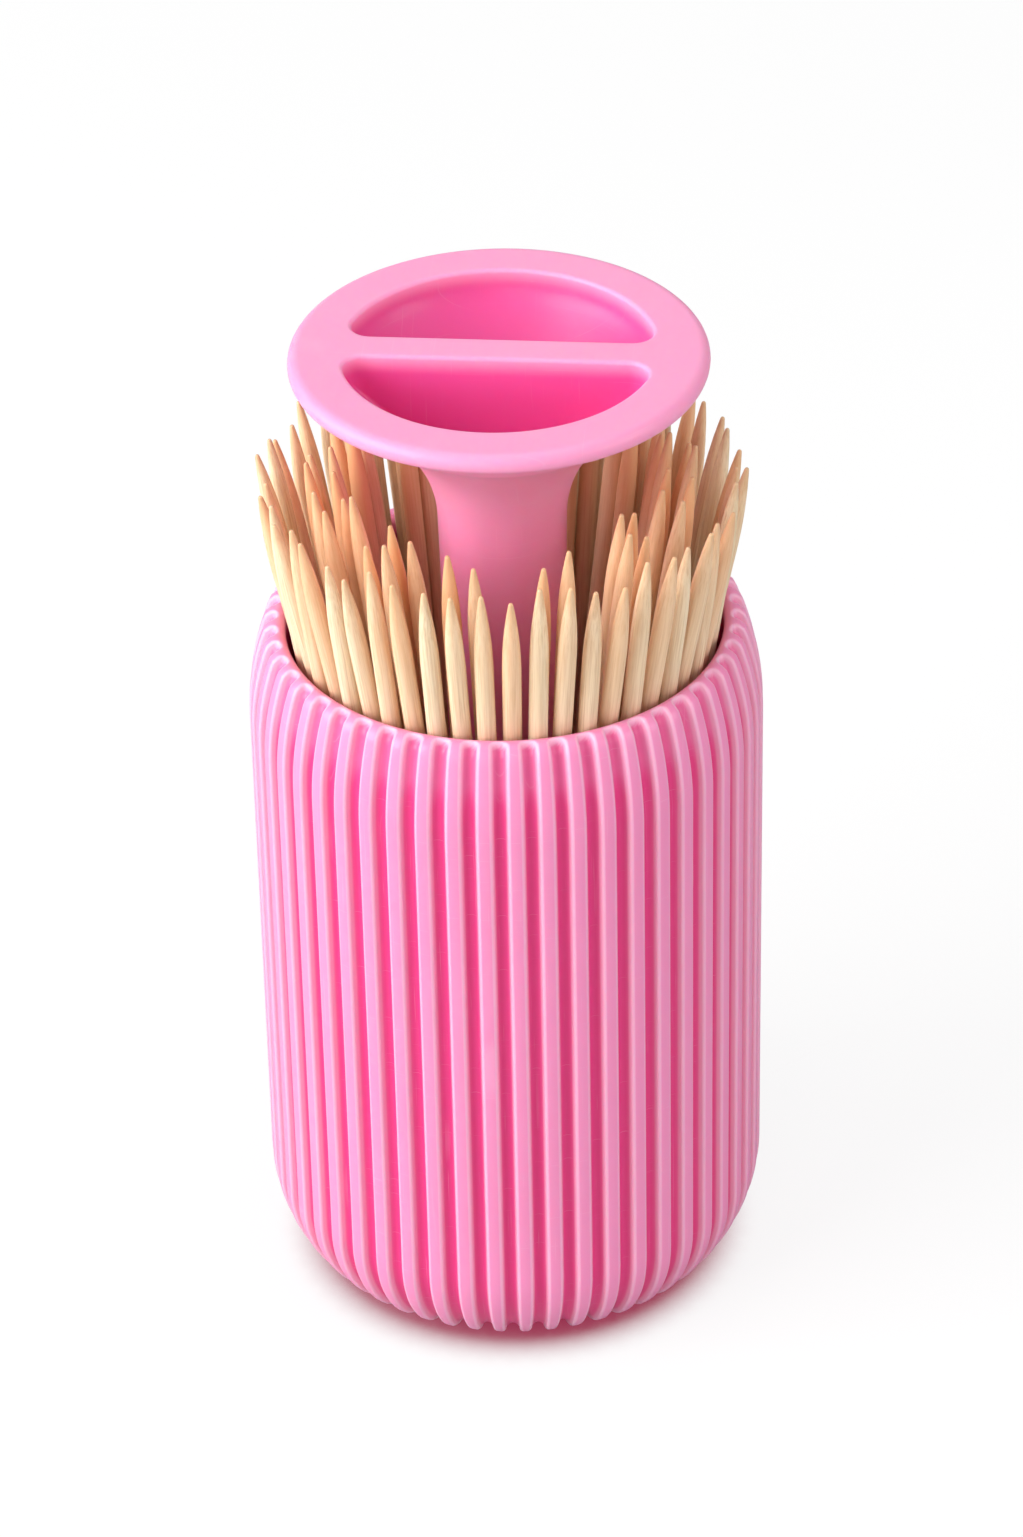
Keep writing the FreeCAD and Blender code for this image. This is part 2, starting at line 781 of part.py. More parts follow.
def export(pieces):
    os.makedirs(OUT_DIR, exist_ok=True)
    for name, piece in pieces.items():
        piece.Label = name
        piece.Shape.exportStep(os.path.join(OUT_DIR, name + ".step"))
        box = piece.Shape.BoundBox
        print("%-18s solids %d  volume %9.1f  z %.2f to %.2f"
              % (name, len(piece.Shape.Solids), piece.Shape.Volume, box.ZMin, box.ZMax))


pieces = build()
check(pieces)
export(pieces)
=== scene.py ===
import math

import bmesh
import bpy
import numpy as np
from mathutils import Matrix, Quaternion, Vector


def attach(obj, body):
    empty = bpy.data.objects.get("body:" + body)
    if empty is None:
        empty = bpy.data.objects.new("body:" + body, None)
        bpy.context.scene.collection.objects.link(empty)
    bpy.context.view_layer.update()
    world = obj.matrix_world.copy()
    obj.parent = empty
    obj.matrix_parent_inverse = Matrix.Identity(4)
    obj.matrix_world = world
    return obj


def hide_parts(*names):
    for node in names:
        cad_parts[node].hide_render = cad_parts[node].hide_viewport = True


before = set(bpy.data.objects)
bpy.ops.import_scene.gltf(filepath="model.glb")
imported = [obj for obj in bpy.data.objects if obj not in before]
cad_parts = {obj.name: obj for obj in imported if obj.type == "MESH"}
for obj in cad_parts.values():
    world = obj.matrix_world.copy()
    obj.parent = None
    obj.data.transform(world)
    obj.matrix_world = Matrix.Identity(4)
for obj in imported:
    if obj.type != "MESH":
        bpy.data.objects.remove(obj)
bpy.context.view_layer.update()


# The ribbed cup. One moulding of pink, slightly milky plastic: a straight wall with round
# grooves down its outside, a rounded base and shoulder, and a smooth lip round the mouth.
# The grooves run out under the base and just short of the lip.

MM = 0.001
CUP_RADIUS = 28.0 * MM
CUP_HEIGHT = 83.0 * MM
CUP_FOOT_Z = 0.4 * MM
CUP_BORE_RADIUS = 23.7 * MM
RIM_Z = 82.0 * MM
WALL_LOW_Z = 12.6 * MM
WALL_HIGH_Z = 71.5 * MM
BASE_CORNER_X = 19.1 * MM
BASE_ARC = 7.2 * MM
CREST_X = 24.7 * MM
CREST_ARC = 1.6 * MM
LIP_ARC = 1.0 * MM
FLOOR_Z = 2.8 * MM
FLOOR_ARC = 5.2 * MM
FLOOR_ARC_TOP_Z = 6.0 * MM
PLUG_SEAT_X = 18.25 * MM
PLUG_SEAT_Z = 1.45 * MM
PLUG_MOUTH_X = 17.35 * MM
BORE_ROWS_FROM = 0.1 * MM
# Painted shade: the bore takes the full deep colour from this far past the lip.
BORE_SHADE_FROM = 0.3 * MM
RIB_COUNT = 52
GROOVE_RADIUS = 0.8 * MM
GROOVE_INSET = 0.2 * MM
GROOVE_EDGE_ROUND = 0.42 * MM
# Painted shade in the grooves fades over this length to a smaller share at their top ends.
GROOVE_SHADE_FADE_LENGTH = 8.0 * MM
GROOVE_LEAST_TURN_RADIUS = 19.0 * MM
GROOVE_TOP_SHADE_SHARE = 0.6
GROOVE_TOP_END = (25.311 * MM, 82.579 * MM)
GROOVE_LOW_END = (20.27 * MM, 0.71 * MM)
PINK = (0.900, 0.290, 0.530, 1.0)
# Painted shade: the deep colour fills the grooves' hollows and the bore; at a low weight it is also the
# clouding of the cup, plug and tray.
PINK_CLOUD_AND_SHADE = (0.830, 0.045, 0.250, 1.0)
# Painted highlight: the ridges' rounded edges are lightened towards this pink.
PAINTED_HIGHLIGHT_PINK = (1.000, 0.680, 0.820, 1.0)
PAINTED_HIGHLIGHT_SPAN = 1.5
PAINTED_HIGHLIGHT_GAIN = 1.78
INSIDE_SPREAD = (1.0, 0.25, 0.45)
SHARP_DEGREES = 42.0


def arc_points(start, end, radius, turn, count):
    """Points of an arc in the X-Z plane, without its start; turn 1 runs anticlockwise."""
    mid = ((start[0] + end[0]) / 2, (start[1] + end[1]) / 2)
    half = math.hypot(end[0] - start[0], end[1] - start[1]) / 2
    rise = math.sqrt(max(radius * radius - half * half, 0.0))
    across = ((start[1] - end[1]) / (2 * half), (end[0] - start[0]) / (2 * half))
    cx, cz = mid[0] + turn * rise * across[0], mid[1] + turn * rise * across[1]
    a0 = math.atan2(start[1] - cz, start[0] - cx)
    a1 = math.atan2(end[1] - cz, end[0] - cx)
    if turn > 0 and a1 < a0:
        a1 += 2 * math.pi
    if turn < 0 and a1 > a0:
        a1 -= 2 * math.pi
    angles = [a0 + (a1 - a0) * k / count for k in range(1, count + 1)]
    return [(cx + radius * math.cos(a), cz + radius * math.sin(a)) for a in angles]


def corner_join(centre, width, height, radius, z_sign):
    """Junction and wide radius of the two tangent arcs that make an outer corner."""
    rest = height - radius
    wide = (width * width + rest * rest - radius * radius) / (2 * (width - radius))
    shift = radius / (wide - radius)
    return (centre[0] + (wide - width) * shift, centre[1] + z_sign * (rest + rest * shift)), wide


def add_node(tree, kind, inputs=None, **settings):
    """A node with its settings made and its inputs set or linked."""
    node = tree.nodes.new(kind)
    for name, value in settings.items():
        setattr(node, name, value)
    for key, value in (inputs or {}).items():
        if isinstance(value, bpy.types.NodeSocket):
            tree.links.new(value, node.inputs[key])
        else:
            node.inputs[key].default_value = value
    return node


def calc(tree, operation, *values):
    """A Math node's result from numbers or sockets."""
    inputs = {index: value for index, value in enumerate(values)}
    return add_node(tree, "ShaderNodeMath", inputs, operation=operation).outputs[0]


def new_group(name, kind, inputs, outputs):
    """A node group with named sockets, with its input and output nodes."""
    tree = bpy.data.node_groups.new(name, kind)
    for socket_name, socket_kind in inputs:
        tree.interface.new_socket(socket_name, in_out="INPUT", socket_type=socket_kind)
    for socket_name, socket_kind in outputs:
        tree.interface.new_socket(socket_name, in_out="OUTPUT", socket_type=socket_kind)
    return tree, tree.nodes.new("NodeGroupInput"), tree.nodes.new("NodeGroupOutput")


def link_object(name, mesh):
    obj = bpy.data.objects.new(name, mesh)
    bpy.context.scene.collection.objects.link(obj)
    return obj


def shaped_by(obj, tree, values):
    """Run a Geometry Nodes tree on obj and keep the result as its plain mesh."""
    modifier = obj.modifiers.new(tree.name, "NODES")
    modifier.node_group = tree
    for item in tree.interface.items_tree:
        if item.item_type == "SOCKET" and item.in_out == "INPUT" and item.name in values:
            modifier[item.identifier] = values[item.name]
    bpy.context.view_layer.update()
    evaluated = obj.evaluated_get(bpy.context.evaluated_depsgraph_get())
    mesh = bpy.data.meshes.new_from_object(evaluated)
    mesh.name = obj.name
    obj.modifiers.remove(modifier)
    old = obj.data
    obj.data = mesh
    bpy.data.meshes.remove(old)
    return obj


def smooth(obj, angle):
    """Shade smooth, with an edge kept sharp where its faces meet at more than angle degrees."""
    obj.data.shade_smooth()
    obj.data.set_sharp_from_angle(angle=math.radians(angle))


def cup_outline():
    """The cup's section as a fine closed line: points, outward normals and distance along."""
    base_join, base_wide = corner_join((BASE_CORNER_X, WALL_LOW_Z), CUP_RADIUS - BASE_CORNER_X,
                                       WALL_LOW_Z - CUP_FOOT_Z, BASE_ARC, -1)
    top_join, top_wide = corner_join((CREST_X, WALL_HIGH_Z), CUP_RADIUS - CREST_X,
                                     CUP_HEIGHT - WALL_HIGH_Z, CREST_ARC, 1)
    points = [(PLUG_SEAT_X, CUP_FOOT_Z), (BASE_CORNER_X, CUP_FOOT_Z)]
    points += arc_points(points[-1], base_join, BASE_ARC, 1, 60)
    points += arc_points(points[-1], (CUP_RADIUS, WALL_LOW_Z), base_wide, 1, 60)
    points += [(CUP_RADIUS, z) for z in np.linspace(WALL_LOW_Z, WALL_HIGH_Z, 60)[1:]]
    points += arc_points(points[-1], top_join, top_wide, 1, 60)
    points += arc_points(points[-1], (CREST_X, CUP_HEIGHT), CREST_ARC, 1, 40)
    points += arc_points(points[-1], (CUP_BORE_RADIUS, RIM_Z), LIP_ARC, 1, 20)
    points += [(CUP_BORE_RADIUS, z) for z in np.linspace(RIM_Z, FLOOR_ARC_TOP_Z, 30)[1:]]
    points += arc_points(points[-1], (BASE_CORNER_X, FLOOR_Z), FLOOR_ARC, -1, 16)
    points += [(PLUG_MOUTH_X, FLOOR_Z), (PLUG_MOUTH_X, PLUG_SEAT_Z), (PLUG_SEAT_X, PLUG_SEAT_Z)]
    line = np.array(points)
    steps = np.linalg.norm(np.diff(line, axis=0), axis=1)
    along = np.concatenate([[0.0], np.cumsum(steps)]) - (BASE_CORNER_X - PLUG_SEAT_X)
    after = np.roll(line, -1, axis=0) - line
    before = line - np.roll(line, 1, axis=0)
    after /= np.linalg.norm(after, axis=1)[:, None]
    before /= np.linalg.norm(before, axis=1)[:, None]
    run = after + before
    run /= np.linalg.norm(run, axis=1)[:, None]
    return line, np.column_stack([run[:, 1], -run[:, 0]]), along


def nearest_along(line, along, point):
    return float(along[np.argmin(np.linalg.norm(line - np.array(point), axis=1))])


def cup_blank():
    """The cup as turned, its columns set where the grooves' edges will need them."""
    line, normal, along = cup_outline()
    low_end = nearest_along(line, along, GROOVE_LOW_END)
    high_end = nearest_along(line, along, GROOVE_TOP_END)
    reach = math.sqrt((GROOVE_RADIUS + GROOVE_EDGE_ROUND) ** 2
                      - (GROOVE_EDGE_ROUND - GROOVE_INSET) ** 2)
    floor_turns = [0.0, 26.0, 48.0, 67.0, 82.0]
    edge_turns = [68.0, 46.0, 23.0, 0.0]
    across = [GROOVE_RADIUS * math.sin(math.radians(t)) for t in floor_turns]
    across += [reach - GROOVE_EDGE_ROUND * math.sin(math.radians(t)) for t in edge_turns]
    wall_low = nearest_along(line, along, (CUP_RADIUS, WALL_LOW_Z))
    wall_high = nearest_along(line, along, (CUP_RADIUS, WALL_HIGH_Z))
    lip_end = nearest_along(line, along, (CUP_BORE_RADIUS, RIM_Z))
    rows = [along[0]] + [low_end - u for u in reversed(across)]
    rows += list(np.linspace(low_end, wall_low, 17)[1:])
    rows += list(np.linspace(wall_low, wall_high, 7)[1:])
    rows += list(np.linspace(wall_high, high_end, 17)[1:])
    rows += [high_end + u for u in across[1:]]
    rows += list(np.linspace(high_end + across[-1], lip_end, 7)[1:])
    rows += [a for a in along if a > lip_end + BORE_ROWS_FROM]
    rows = np.array(rows)
    radius = np.interp(rows, along, line[:, 0])
    height = np.interp(rows, along, line[:, 1])
    out_r = np.interp(rows, along, normal[:, 0])
    out_z = np.interp(rows, along, normal[:, 1])
    offsets = [-u for u in reversed(across[1:])] + across
    pitch = 2 * math.pi / RIB_COUNT
    verts, outward, aside, inside = [], [], [], []
    for r, z, nr, nz, run in zip(radius, height, out_r, out_z, rows):
        for rib in range(RIB_COUNT):
            groove = (rib + 0.5) * pitch
            turns = [(groove + u / max(r, GROOVE_LEAST_TURN_RADIUS), abs(u)) for u in offsets]
            turns.append((groove + pitch / 2, r * pitch / 2))
            for angle, u in turns:
                c, s = math.cos(angle), math.sin(angle)
                verts.append((r * c, r * s, z))
                outward.append((nr * c, nr * s, nz))
                aside.append(u)
                # Painted shade: points of the bore are marked to take the full deep colour.
                inside.append(1.0 if run > lip_end + BORE_SHADE_FROM else 0.0)
    columns = RIB_COUNT * (len(offsets) + 1)
    count = len(rows)
    faces = []
    for i in range(count):
        for j in range(columns):
            a, b = i * columns + j, i * columns + (j + 1) % columns
            c, d = ((i + 1) % count) * columns + (j + 1) % columns, ((i + 1) % count) * columns + j
            faces.append((a, b, c, d))
    mesh = bpy.data.meshes.new("cup")
    mesh.from_pydata(verts, [], faces)
    mesh.attributes.new("across", "FLOAT", "POINT").data.foreach_set("value", aside)
    mesh.attributes.new("along", "FLOAT", "POINT").data.foreach_set(
        "value", np.repeat(rows, columns).astype(np.float32))
    mesh.attributes.new("inside", "FLOAT", "POINT").data.foreach_set("value", inside)
    mesh.attributes.new("outward", "FLOAT_VECTOR", "POINT").data.foreach_set(
        "vector", np.array(outward, np.float32).ravel())
    return link_object("cup", mesh), low_end, high_end


def groove_tree():
    """Geometry Nodes: sinks round-bottomed grooves with soft edges and ball ends, and keeps
    as the attribute "deep" a painted shade mask, strongest down the middle of each groove
    and full in the bore, and as "edge" a painted highlight on the ridges' edges."""
    tree, given, result = new_group(
        "cut_grooves", "GeometryNodeTree",
        [("Geometry", "NodeSocketGeometry"), ("Groove Radius", "NodeSocketFloat"),
         ("Groove Inset", "NodeSocketFloat"), ("Edge Round", "NodeSocketFloat"),
         ("Low End", "NodeSocketFloat"), ("High End", "NodeSocketFloat"),
         ("Fade Length", "NodeSocketFloat"), ("Plastic", "NodeSocketMaterial")],
        [("Geometry", "NodeSocketGeometry")])
    bore, inset, edge = (given.outputs[n] for n in ("Groove Radius", "Groove Inset", "Edge Round"))
    across = add_node(tree, "GeometryNodeInputNamedAttribute", {"Name": "across"}).outputs[0]
    along = add_node(tree, "GeometryNodeInputNamedAttribute", {"Name": "along"}).outputs[0]
    outward = add_node(tree, "GeometryNodeInputNamedAttribute", {"Name": "outward"},
                       data_type="FLOAT_VECTOR").outputs[0]
    below = calc(tree, "SUBTRACT", given.outputs["Low End"], along)
    above = calc(tree, "SUBTRACT", along, given.outputs["High End"])
    past = calc(tree, "MAXIMUM", calc(tree, "MAXIMUM", below, above), 0.0)
    square = lambda value: calc(tree, "MULTIPLY", value, value)
    root = lambda value: calc(tree, "SQRT", calc(tree, "MAXIMUM", value, 0.0))
    away = root(calc(tree, "ADD", square(across), square(past)))
    both = calc(tree, "ADD", bore, edge)
    reach = root(calc(tree, "SUBTRACT", square(both), square(calc(tree, "SUBTRACT", edge, inset))))
    touch = calc(tree, "DIVIDE", calc(tree, "MULTIPLY", reach, bore), both)
    deep = calc(tree, "ADD", inset, root(calc(tree, "SUBTRACT", square(bore), square(away))))
    inside = calc(tree, "MAXIMUM", calc(tree, "SUBTRACT", reach, away), 0.0)
    soft = calc(tree, "SUBTRACT", edge, root(calc(tree, "SUBTRACT", square(edge), square(inside))))
    in_groove = calc(tree, "LESS_THAN", away, touch)
    on_edge = calc(tree, "SUBTRACT", 1.0, in_groove)
    depth = calc(tree, "ADD", calc(tree, "MULTIPLY", deep, in_groove),
                 calc(tree, "MULTIPLY", soft, on_edge))
    sink = calc(tree, "MULTIPLY", depth, -1.0)
    offset = add_node(tree, "ShaderNodeVectorMath", {0: outward, "Scale": sink}, operation="SCALE")
    moved = add_node(tree, "GeometryNodeSetPosition",
                     {"Geometry": given.outputs["Geometry"], "Offset": offset.outputs[0]})
    # Painted shade: "deep" is darkest across the middle of each groove, weaker towards the groove tops,
    # and full in the bore.
    bore_shade = add_node(tree, "GeometryNodeInputNamedAttribute", {"Name": "inside"}).outputs[0]
    from_end = calc(tree, "DIVIDE", calc(tree, "SUBTRACT", given.outputs["High End"], along),
                    given.outputs["Fade Length"])
    top_shade_share = calc(tree, "MINIMUM", calc(tree, "MAXIMUM", from_end, GROOVE_TOP_SHADE_SHARE), 1.0)
    reached = calc(tree, "DIVIDE", away, reach)
    bowl = calc(tree, "MAXIMUM", calc(tree, "SUBTRACT", 1.0, square(reached)), 0.0)
    share = calc(tree, "MULTIPLY", top_shade_share, bowl)
    # Painted highlight: "edge" rises and falls across each ridge's rounded edge to lighten it.
    over_edge = calc(tree, "DIVIDE", inside, calc(tree, "SUBTRACT", reach, touch))
    turned = calc(tree, "MINIMUM", over_edge, PAINTED_HIGHLIGHT_SPAN)
    falling = calc(tree, "SUBTRACT", PAINTED_HIGHLIGHT_SPAN, turned)
    painted_highlight = calc(tree, "MULTIPLY", calc(tree, "MULTIPLY", turned, falling), PAINTED_HIGHLIGHT_GAIN)
    kept = add_node(tree, "GeometryNodeStoreNamedAttribute",
                    {"Geometry": moved.outputs[0], "Name": "deep",
                     "Value": calc(tree, "MAXIMUM", share, bore_shade)},
                    data_type="FLOAT", domain="POINT")
    edged = add_node(tree, "GeometryNodeStoreNamedAttribute",
                     {"Geometry": kept.outputs[0], "Name": "edge", "Value": painted_highlight},
                     data_type="FLOAT", domain="POINT")
    real = add_node(tree, "GeometryNodeRealizeInstances", {"Geometry": edged.outputs[0]})
    dressed = add_node(tree, "GeometryNodeSetMaterial",
                       {"Geometry": real.outputs[0], "Material": given.outputs["Plastic"]})
    tree.links.new(dressed.outputs[0], result.inputs[0])
    return tree


def moulded_surface_group():
    """Shader group: painted shade in hollows, painted highlights on ridges' edges, clouding,
    hairline scratches and fine grain of moulded plastic."""
    tree, given, result = new_group(
        "moulded_surface", "ShaderNodeTree",
        [("Colour", "NodeSocketColor"), ("Deep Colour", "NodeSocketColor"),
         ("Clouding", "NodeSocketFloat"), ("Scratches", "NodeSocketFloat"),
         ("Gloss Roughness", "NodeSocketFloat")],
        [("Colour", "NodeSocketColor"), ("Roughness", "NodeSocketFloat"),
         ("Height", "NodeSocketFloat")])
    place = add_node(tree, "ShaderNodeTexCoord").outputs["Object"]
    deep = add_node(tree, "ShaderNodeAttribute", attribute_name="deep").outputs["Fac"]
    cloud = add_node(tree, "ShaderNodeTexNoise", {"Vector": place, "Scale": 70.0, "Detail": 3.0,
                                                  "Roughness": 0.5}).outputs[0]
    grain = add_node(tree, "ShaderNodeTexNoise", {"Vector": place, "Scale": 2600.0, "Detail": 2.0,
                                                  "Roughness": 0.6}).outputs[0]
    marks = []
    for turn, stretch in (((0.35, 0.2, 0.9), (7000.0, 70.0, 160.0)),
                          ((1.1, 0.7, -0.4), (90.0, 8200.0, 70.0)),
                          ((-0.5, 1.3, 0.3), (80.0, 150.0, 7600.0))):
        turned = add_node(tree, "ShaderNodeMapping",
                          {"Vector": place, "Rotation": turn, "Scale": stretch})
        streak = add_node(tree, "ShaderNodeTexNoise", {"Vector": turned.outputs[0], "Scale": 1.0,
                                                       "Detail": 0.0}).outputs[0]
        marks.append(add_node(tree, "ShaderNodeMapRange",
                              {"Value": streak, "From Min": 0.76, "From Max": 0.86}).outputs[0])
    scratch = calc(tree, "MAXIMUM", calc(tree, "MAXIMUM", marks[0], marks[1]), marks[2])
    scratch = calc(tree, "MULTIPLY", scratch, given.outputs["Scratches"])
    # Painted shade: the "deep" mask pulls the colour towards the deep colour, as the clouding does.
    sunk = add_node(tree, "ShaderNodeMapRange", {"Value": deep, "From Min": 0.04, "From Max": 0.90},
                    interpolation_type="SMOOTHSTEP").outputs[0]
    spread = add_node(tree, "ShaderNodeMapRange",
                      {"Value": cloud, "From Min": 0.30, "From Max": 0.70}).outputs[0]
    cloud_and_shade = calc(tree, "MAXIMUM", calc(tree, "MULTIPLY", spread, given.outputs["Clouding"]), sunk)
    clouded_and_shaded = add_node(tree, "ShaderNodeMix", {0: cloud_and_shade, 6: given.outputs["Colour"],
                                              7: given.outputs["Deep Colour"]},
                      data_type="RGBA").outputs[2]
    # Painted highlight: the "edge" mask lightens the ridges' edges; the scratches' pale marks are wear.
    edge = add_node(tree, "ShaderNodeAttribute", attribute_name="edge").outputs["Fac"]
    pale = calc(tree, "MAXIMUM", calc(tree, "MULTIPLY", scratch, 0.25),
                calc(tree, "MULTIPLY", edge, 0.55))
    scratched_and_highlit = add_node(tree, "ShaderNodeMix", {0: pale, 6: clouded_and_shaded, 7: PAINTED_HIGHLIGHT_PINK},
                      data_type="RGBA").outputs[2]
    rough = calc(tree, "ADD", given.outputs["Gloss Roughness"],
                 calc(tree, "MULTIPLY", calc(tree, "SUBTRACT", cloud, 0.5), 0.08))
    rough = calc(tree, "ADD", rough, calc(tree, "MULTIPLY", scratch, 0.15))
    height = calc(tree, "SUBTRACT", calc(tree, "MULTIPLY", grain, 0.35),
                  calc(tree, "MULTIPLY", scratch, 0.65))
    for name, value in (("Colour", scratched_and_highlit), ("Roughness", rough), ("Height", height)):
        tree.links.new(value, result.inputs[name])
    return tree


MOULDED = moulded_surface_group()


def moulded_plastic(name, colour, deep, roughness, clouding, scratches, glow, milk=0.30, gloss=0.0):
    """Satin plastic; glow is how far light spreads inside it, in metres, milk how much of
    the light does, and gloss the weight of a smoother coat over it. The deep colour serves
    its clouding and the painted shade where a mesh has a "deep" mask."""
    material = bpy.data.materials.new(name)
    material.use_nodes = True
    tree = material.node_tree
    shader = tree.nodes["Principled BSDF"]
    surface = add_node(tree, "ShaderNodeGroup", node_tree=MOULDED)
    for key, value in (("Colour", colour), ("Deep Colour", deep), ("Clouding", clouding),
                       ("Scratches", scratches), ("Gloss Roughness", roughness)):
        surface.inputs[key].default_value = value
    bump = add_node(tree, "ShaderNodeBump", {"Height": surface.outputs["Height"],
                                             "Strength": 0.2, "Distance": 0.00002})
    tree.links.new(surface.outputs["Colour"], shader.inputs["Base Color"])
    tree.links.new(surface.outputs["Roughness"], shader.inputs["Roughness"])
    tree.links.new(bump.outputs[0], shader.inputs["Normal"])
    shader.inputs["IOR"].default_value = 1.46
    shader.inputs["Coat Weight"].default_value = gloss
    shader.inputs["Coat Roughness"].default_value = 0.16
    shader.inputs["Subsurface Weight"].default_value = milk
    shader.inputs["Subsurface Radius"].default_value = INSIDE_SPREAD
    shader.inputs["Subsurface Scale"].default_value = glow
    return material


pink_plastic = moulded_plastic("pink_plastic", PINK, PINK_CLOUD_AND_SHADE, 0.36, 0.05, 0.5, 0.6 * MM, gloss=0.10)
cup, groove_low, groove_high = cup_blank()
shaped_by(cup, groove_tree(), {
    "Groove Radius": GROOVE_RADIUS, "Groove Inset": GROOVE_INSET, "Edge Round": GROOVE_EDGE_ROUND,
    "Low End": groove_low, "High End": groove_high, "Fade Length": GROOVE_SHADE_FADE_LENGTH,
    "Plastic": pink_plastic})
smooth(cup, SHARP_DEGREES)
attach(cup, "shell")
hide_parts("cup_shell")


# The fixed parts inside and under the cup: the plug that closes the base, the soft ring the
# cup stands on, and the post with its screw. The post's head stops the lift at the top.

PLUG_PINK = (0.900, 0.300, 0.540, 1.0)
POST_WHITE = (0.860, 0.850, 0.830, 1.0)
POST_CLOUD = (0.800, 0.780, 0.750, 1.0)
SILICONE = (0.780, 0.760, 0.750, 1.0)
SILICONE_CLOUD = (0.700, 0.680, 0.680, 1.0)
ZINC = (0.640, 0.640, 0.620, 1.0)
ZINC_STAIN = (0.500, 0.510, 0.470, 1.0)


def dress(node, material):
    """Give a carried-over node its material."""
    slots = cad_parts[node].data.materials
    slots.clear()
    slots.append(material)


plug_plastic = moulded_plastic("plug_plastic", PLUG_PINK, PINK_CLOUD_AND_SHADE, 0.42, 0.12, 0.7, 0.8 * MM)
post_plastic = moulded_plastic("post_plastic", POST_WHITE, POST_CLOUD, 0.38, 0.4, 0.5, 0.8 * MM)
silicone = moulded_plastic("silicone", SILICONE, SILICONE_CLOUD, 0.58, 0.6, 0.2, 1.0 * MM)


def turned_zinc():
    """Zinc-plated steel with the fine rings that turning leaves."""
    material = bpy.data.materials.new("turned_zinc")
    material.use_nodes = True
    tree = material.node_tree
    shader = tree.nodes["Principled BSDF"]
    place = add_node(tree, "ShaderNodeTexCoord").outputs["Object"]
    rings = add_node(tree, "ShaderNodeTexWave", {"Vector": place, "Scale": 700.0, "Distortion": 1.5,
                                                 "Detail": 2.0},
                     wave_type="RINGS", rings_direction="Z").outputs["Fac"]
    stain = add_node(tree, "ShaderNodeTexNoise",
                     {"Vector": place, "Scale": 700.0, "Detail": 4.0}).outputs[0]
    colour = add_node(tree, "ShaderNodeMix", {0: stain, 6: ZINC, 7: ZINC_STAIN},
                      data_type="RGBA").outputs[2]
    rough = calc(tree, "ADD", calc(tree, "MULTIPLY", rings, 0.16), 0.26)
    bump = add_node(tree, "ShaderNodeBump", {"Height": rings, "Strength": 0.3, "Distance": 0.00002})
    tree.links.new(colour, shader.inputs["Base Color"])
    tree.links.new(rough, shader.inputs["Roughness"])
    tree.links.new(bump.outputs[0], shader.inputs["Normal"])
    shader.inputs["Metallic"].default_value = 1.0
    return material


zinc = turned_zinc()
dress("base_plug", plug_plastic)
dress("foot_ring", silicone)
dress("guide_post", post_plastic)
dress("base_screw", zinc)


# The tray and its wiper ring. The tray is a pink moulding that slides up the cup on the post;
# the soft ring in its edge drags on the bore and holds the lift where it is let go.

TRAY_PINK = (0.840, 0.160, 0.380, 1.0)

tray_plastic = moulded_plastic("tray_plastic", TRAY_PINK, PINK_CLOUD_AND_SHADE, 0.45, 0.3, 0.8, 0.8 * MM)
dress("lift_tray", tray_plastic)
dress("tray_wiper", silicone)


# The handle. One pink moulding: a hollow stem that flares into a bowl, and a disc on top with
# two D-shaped finger pockets and the grip bar left standing between them.

HANDLE_PINK = (0.955, 0.355, 0.575, 1.0)
# Painted shade: the pockets and the stem below the disc are pulled towards this deeper pink; the handle's
# faint clouding uses it too.
HANDLE_CLOUD_AND_SHADE_PINK = (0.820, 0.088, 0.350, 1.0)
STEM_BASE_Z = 38.868 * MM
STEM_FOOT_RADIUS = 5.8 * MM
STEM_BORE_RADIUS = 4.1 * MM
STEM_BORE_HEIGHT = 63.7 * MM
NECK_RADIUS = 6.9 * MM
NECK_Z = STEM_BASE_Z + 56.6 * MM
FLARE_ARC = 16.0 * MM
FLARE_END = (13.4 * MM, NECK_Z + 12.88 * MM)
CONE_EDGE_ARC = 4.0 * MM
CONE_LOW = (14.3 * MM, NECK_Z + 13.72 * MM)
CONE_HIGH = (18.4 * MM, NECK_Z + 18.08 * MM)
CONE_BLEND_X = 18.52 * MM
CONE_BLEND_DROP = 0.06 * MM
UNDERSIDE_X = (18.75 * MM, 20.9 * MM)
HANDLE_TOP_Z = STEM_BASE_Z + 77.2 * MM
DISC_RADIUS = 22.2 * MM
DISC_THICKNESS = 2.3 * MM
DISC_TOP_STRIP = 0.12 * MM
POCKET_RADIUS = 16.7 * MM
POCKET_CORNER = 2.3 * MM
GRIP_BAR_HALF = 2.1 * MM
POCKET_EDGE_ROUND = 0.45 * MM
POCKET_TOP_STRIP = 0.08 * MM
POCKET_FLOOR_ROUND = 0.9 * MM
POCKET_DEPTH = 10.0 * MM
POCKET_MIDDLE_Y = 8.4 * MM
BOWL_ARC = 40.0 * MM
BOWL_ARC_CENTRE = (-14.209 * MM, 22.929 * MM)
BOWL_BLEND = 0.6 * MM
POCKET_SHADE_DEPTH = 2.6 * MM
STEM_SHADE = 0.30
STEM_SHADE_REACH = 18.0 * MM
TURN_STEPS = 192
BAR_STEPS = 40
CORNER_STEPS = 14
ROUND_STEPS = 84
FLOOR_STEPS = 12


def add_ring(verts, points):
    """Add a closed row of points and return their numbers."""
    first = len(verts)
    verts.extend(points)
    return list(range(first, first + len(points)))


def add_level_ring(verts, at, level):
    """Add a closed row of points from their places seen from above and their heights."""
    return add_ring(verts, [(float(p[0]), float(p[1]), float(z)) for p, z in zip(at, level)])


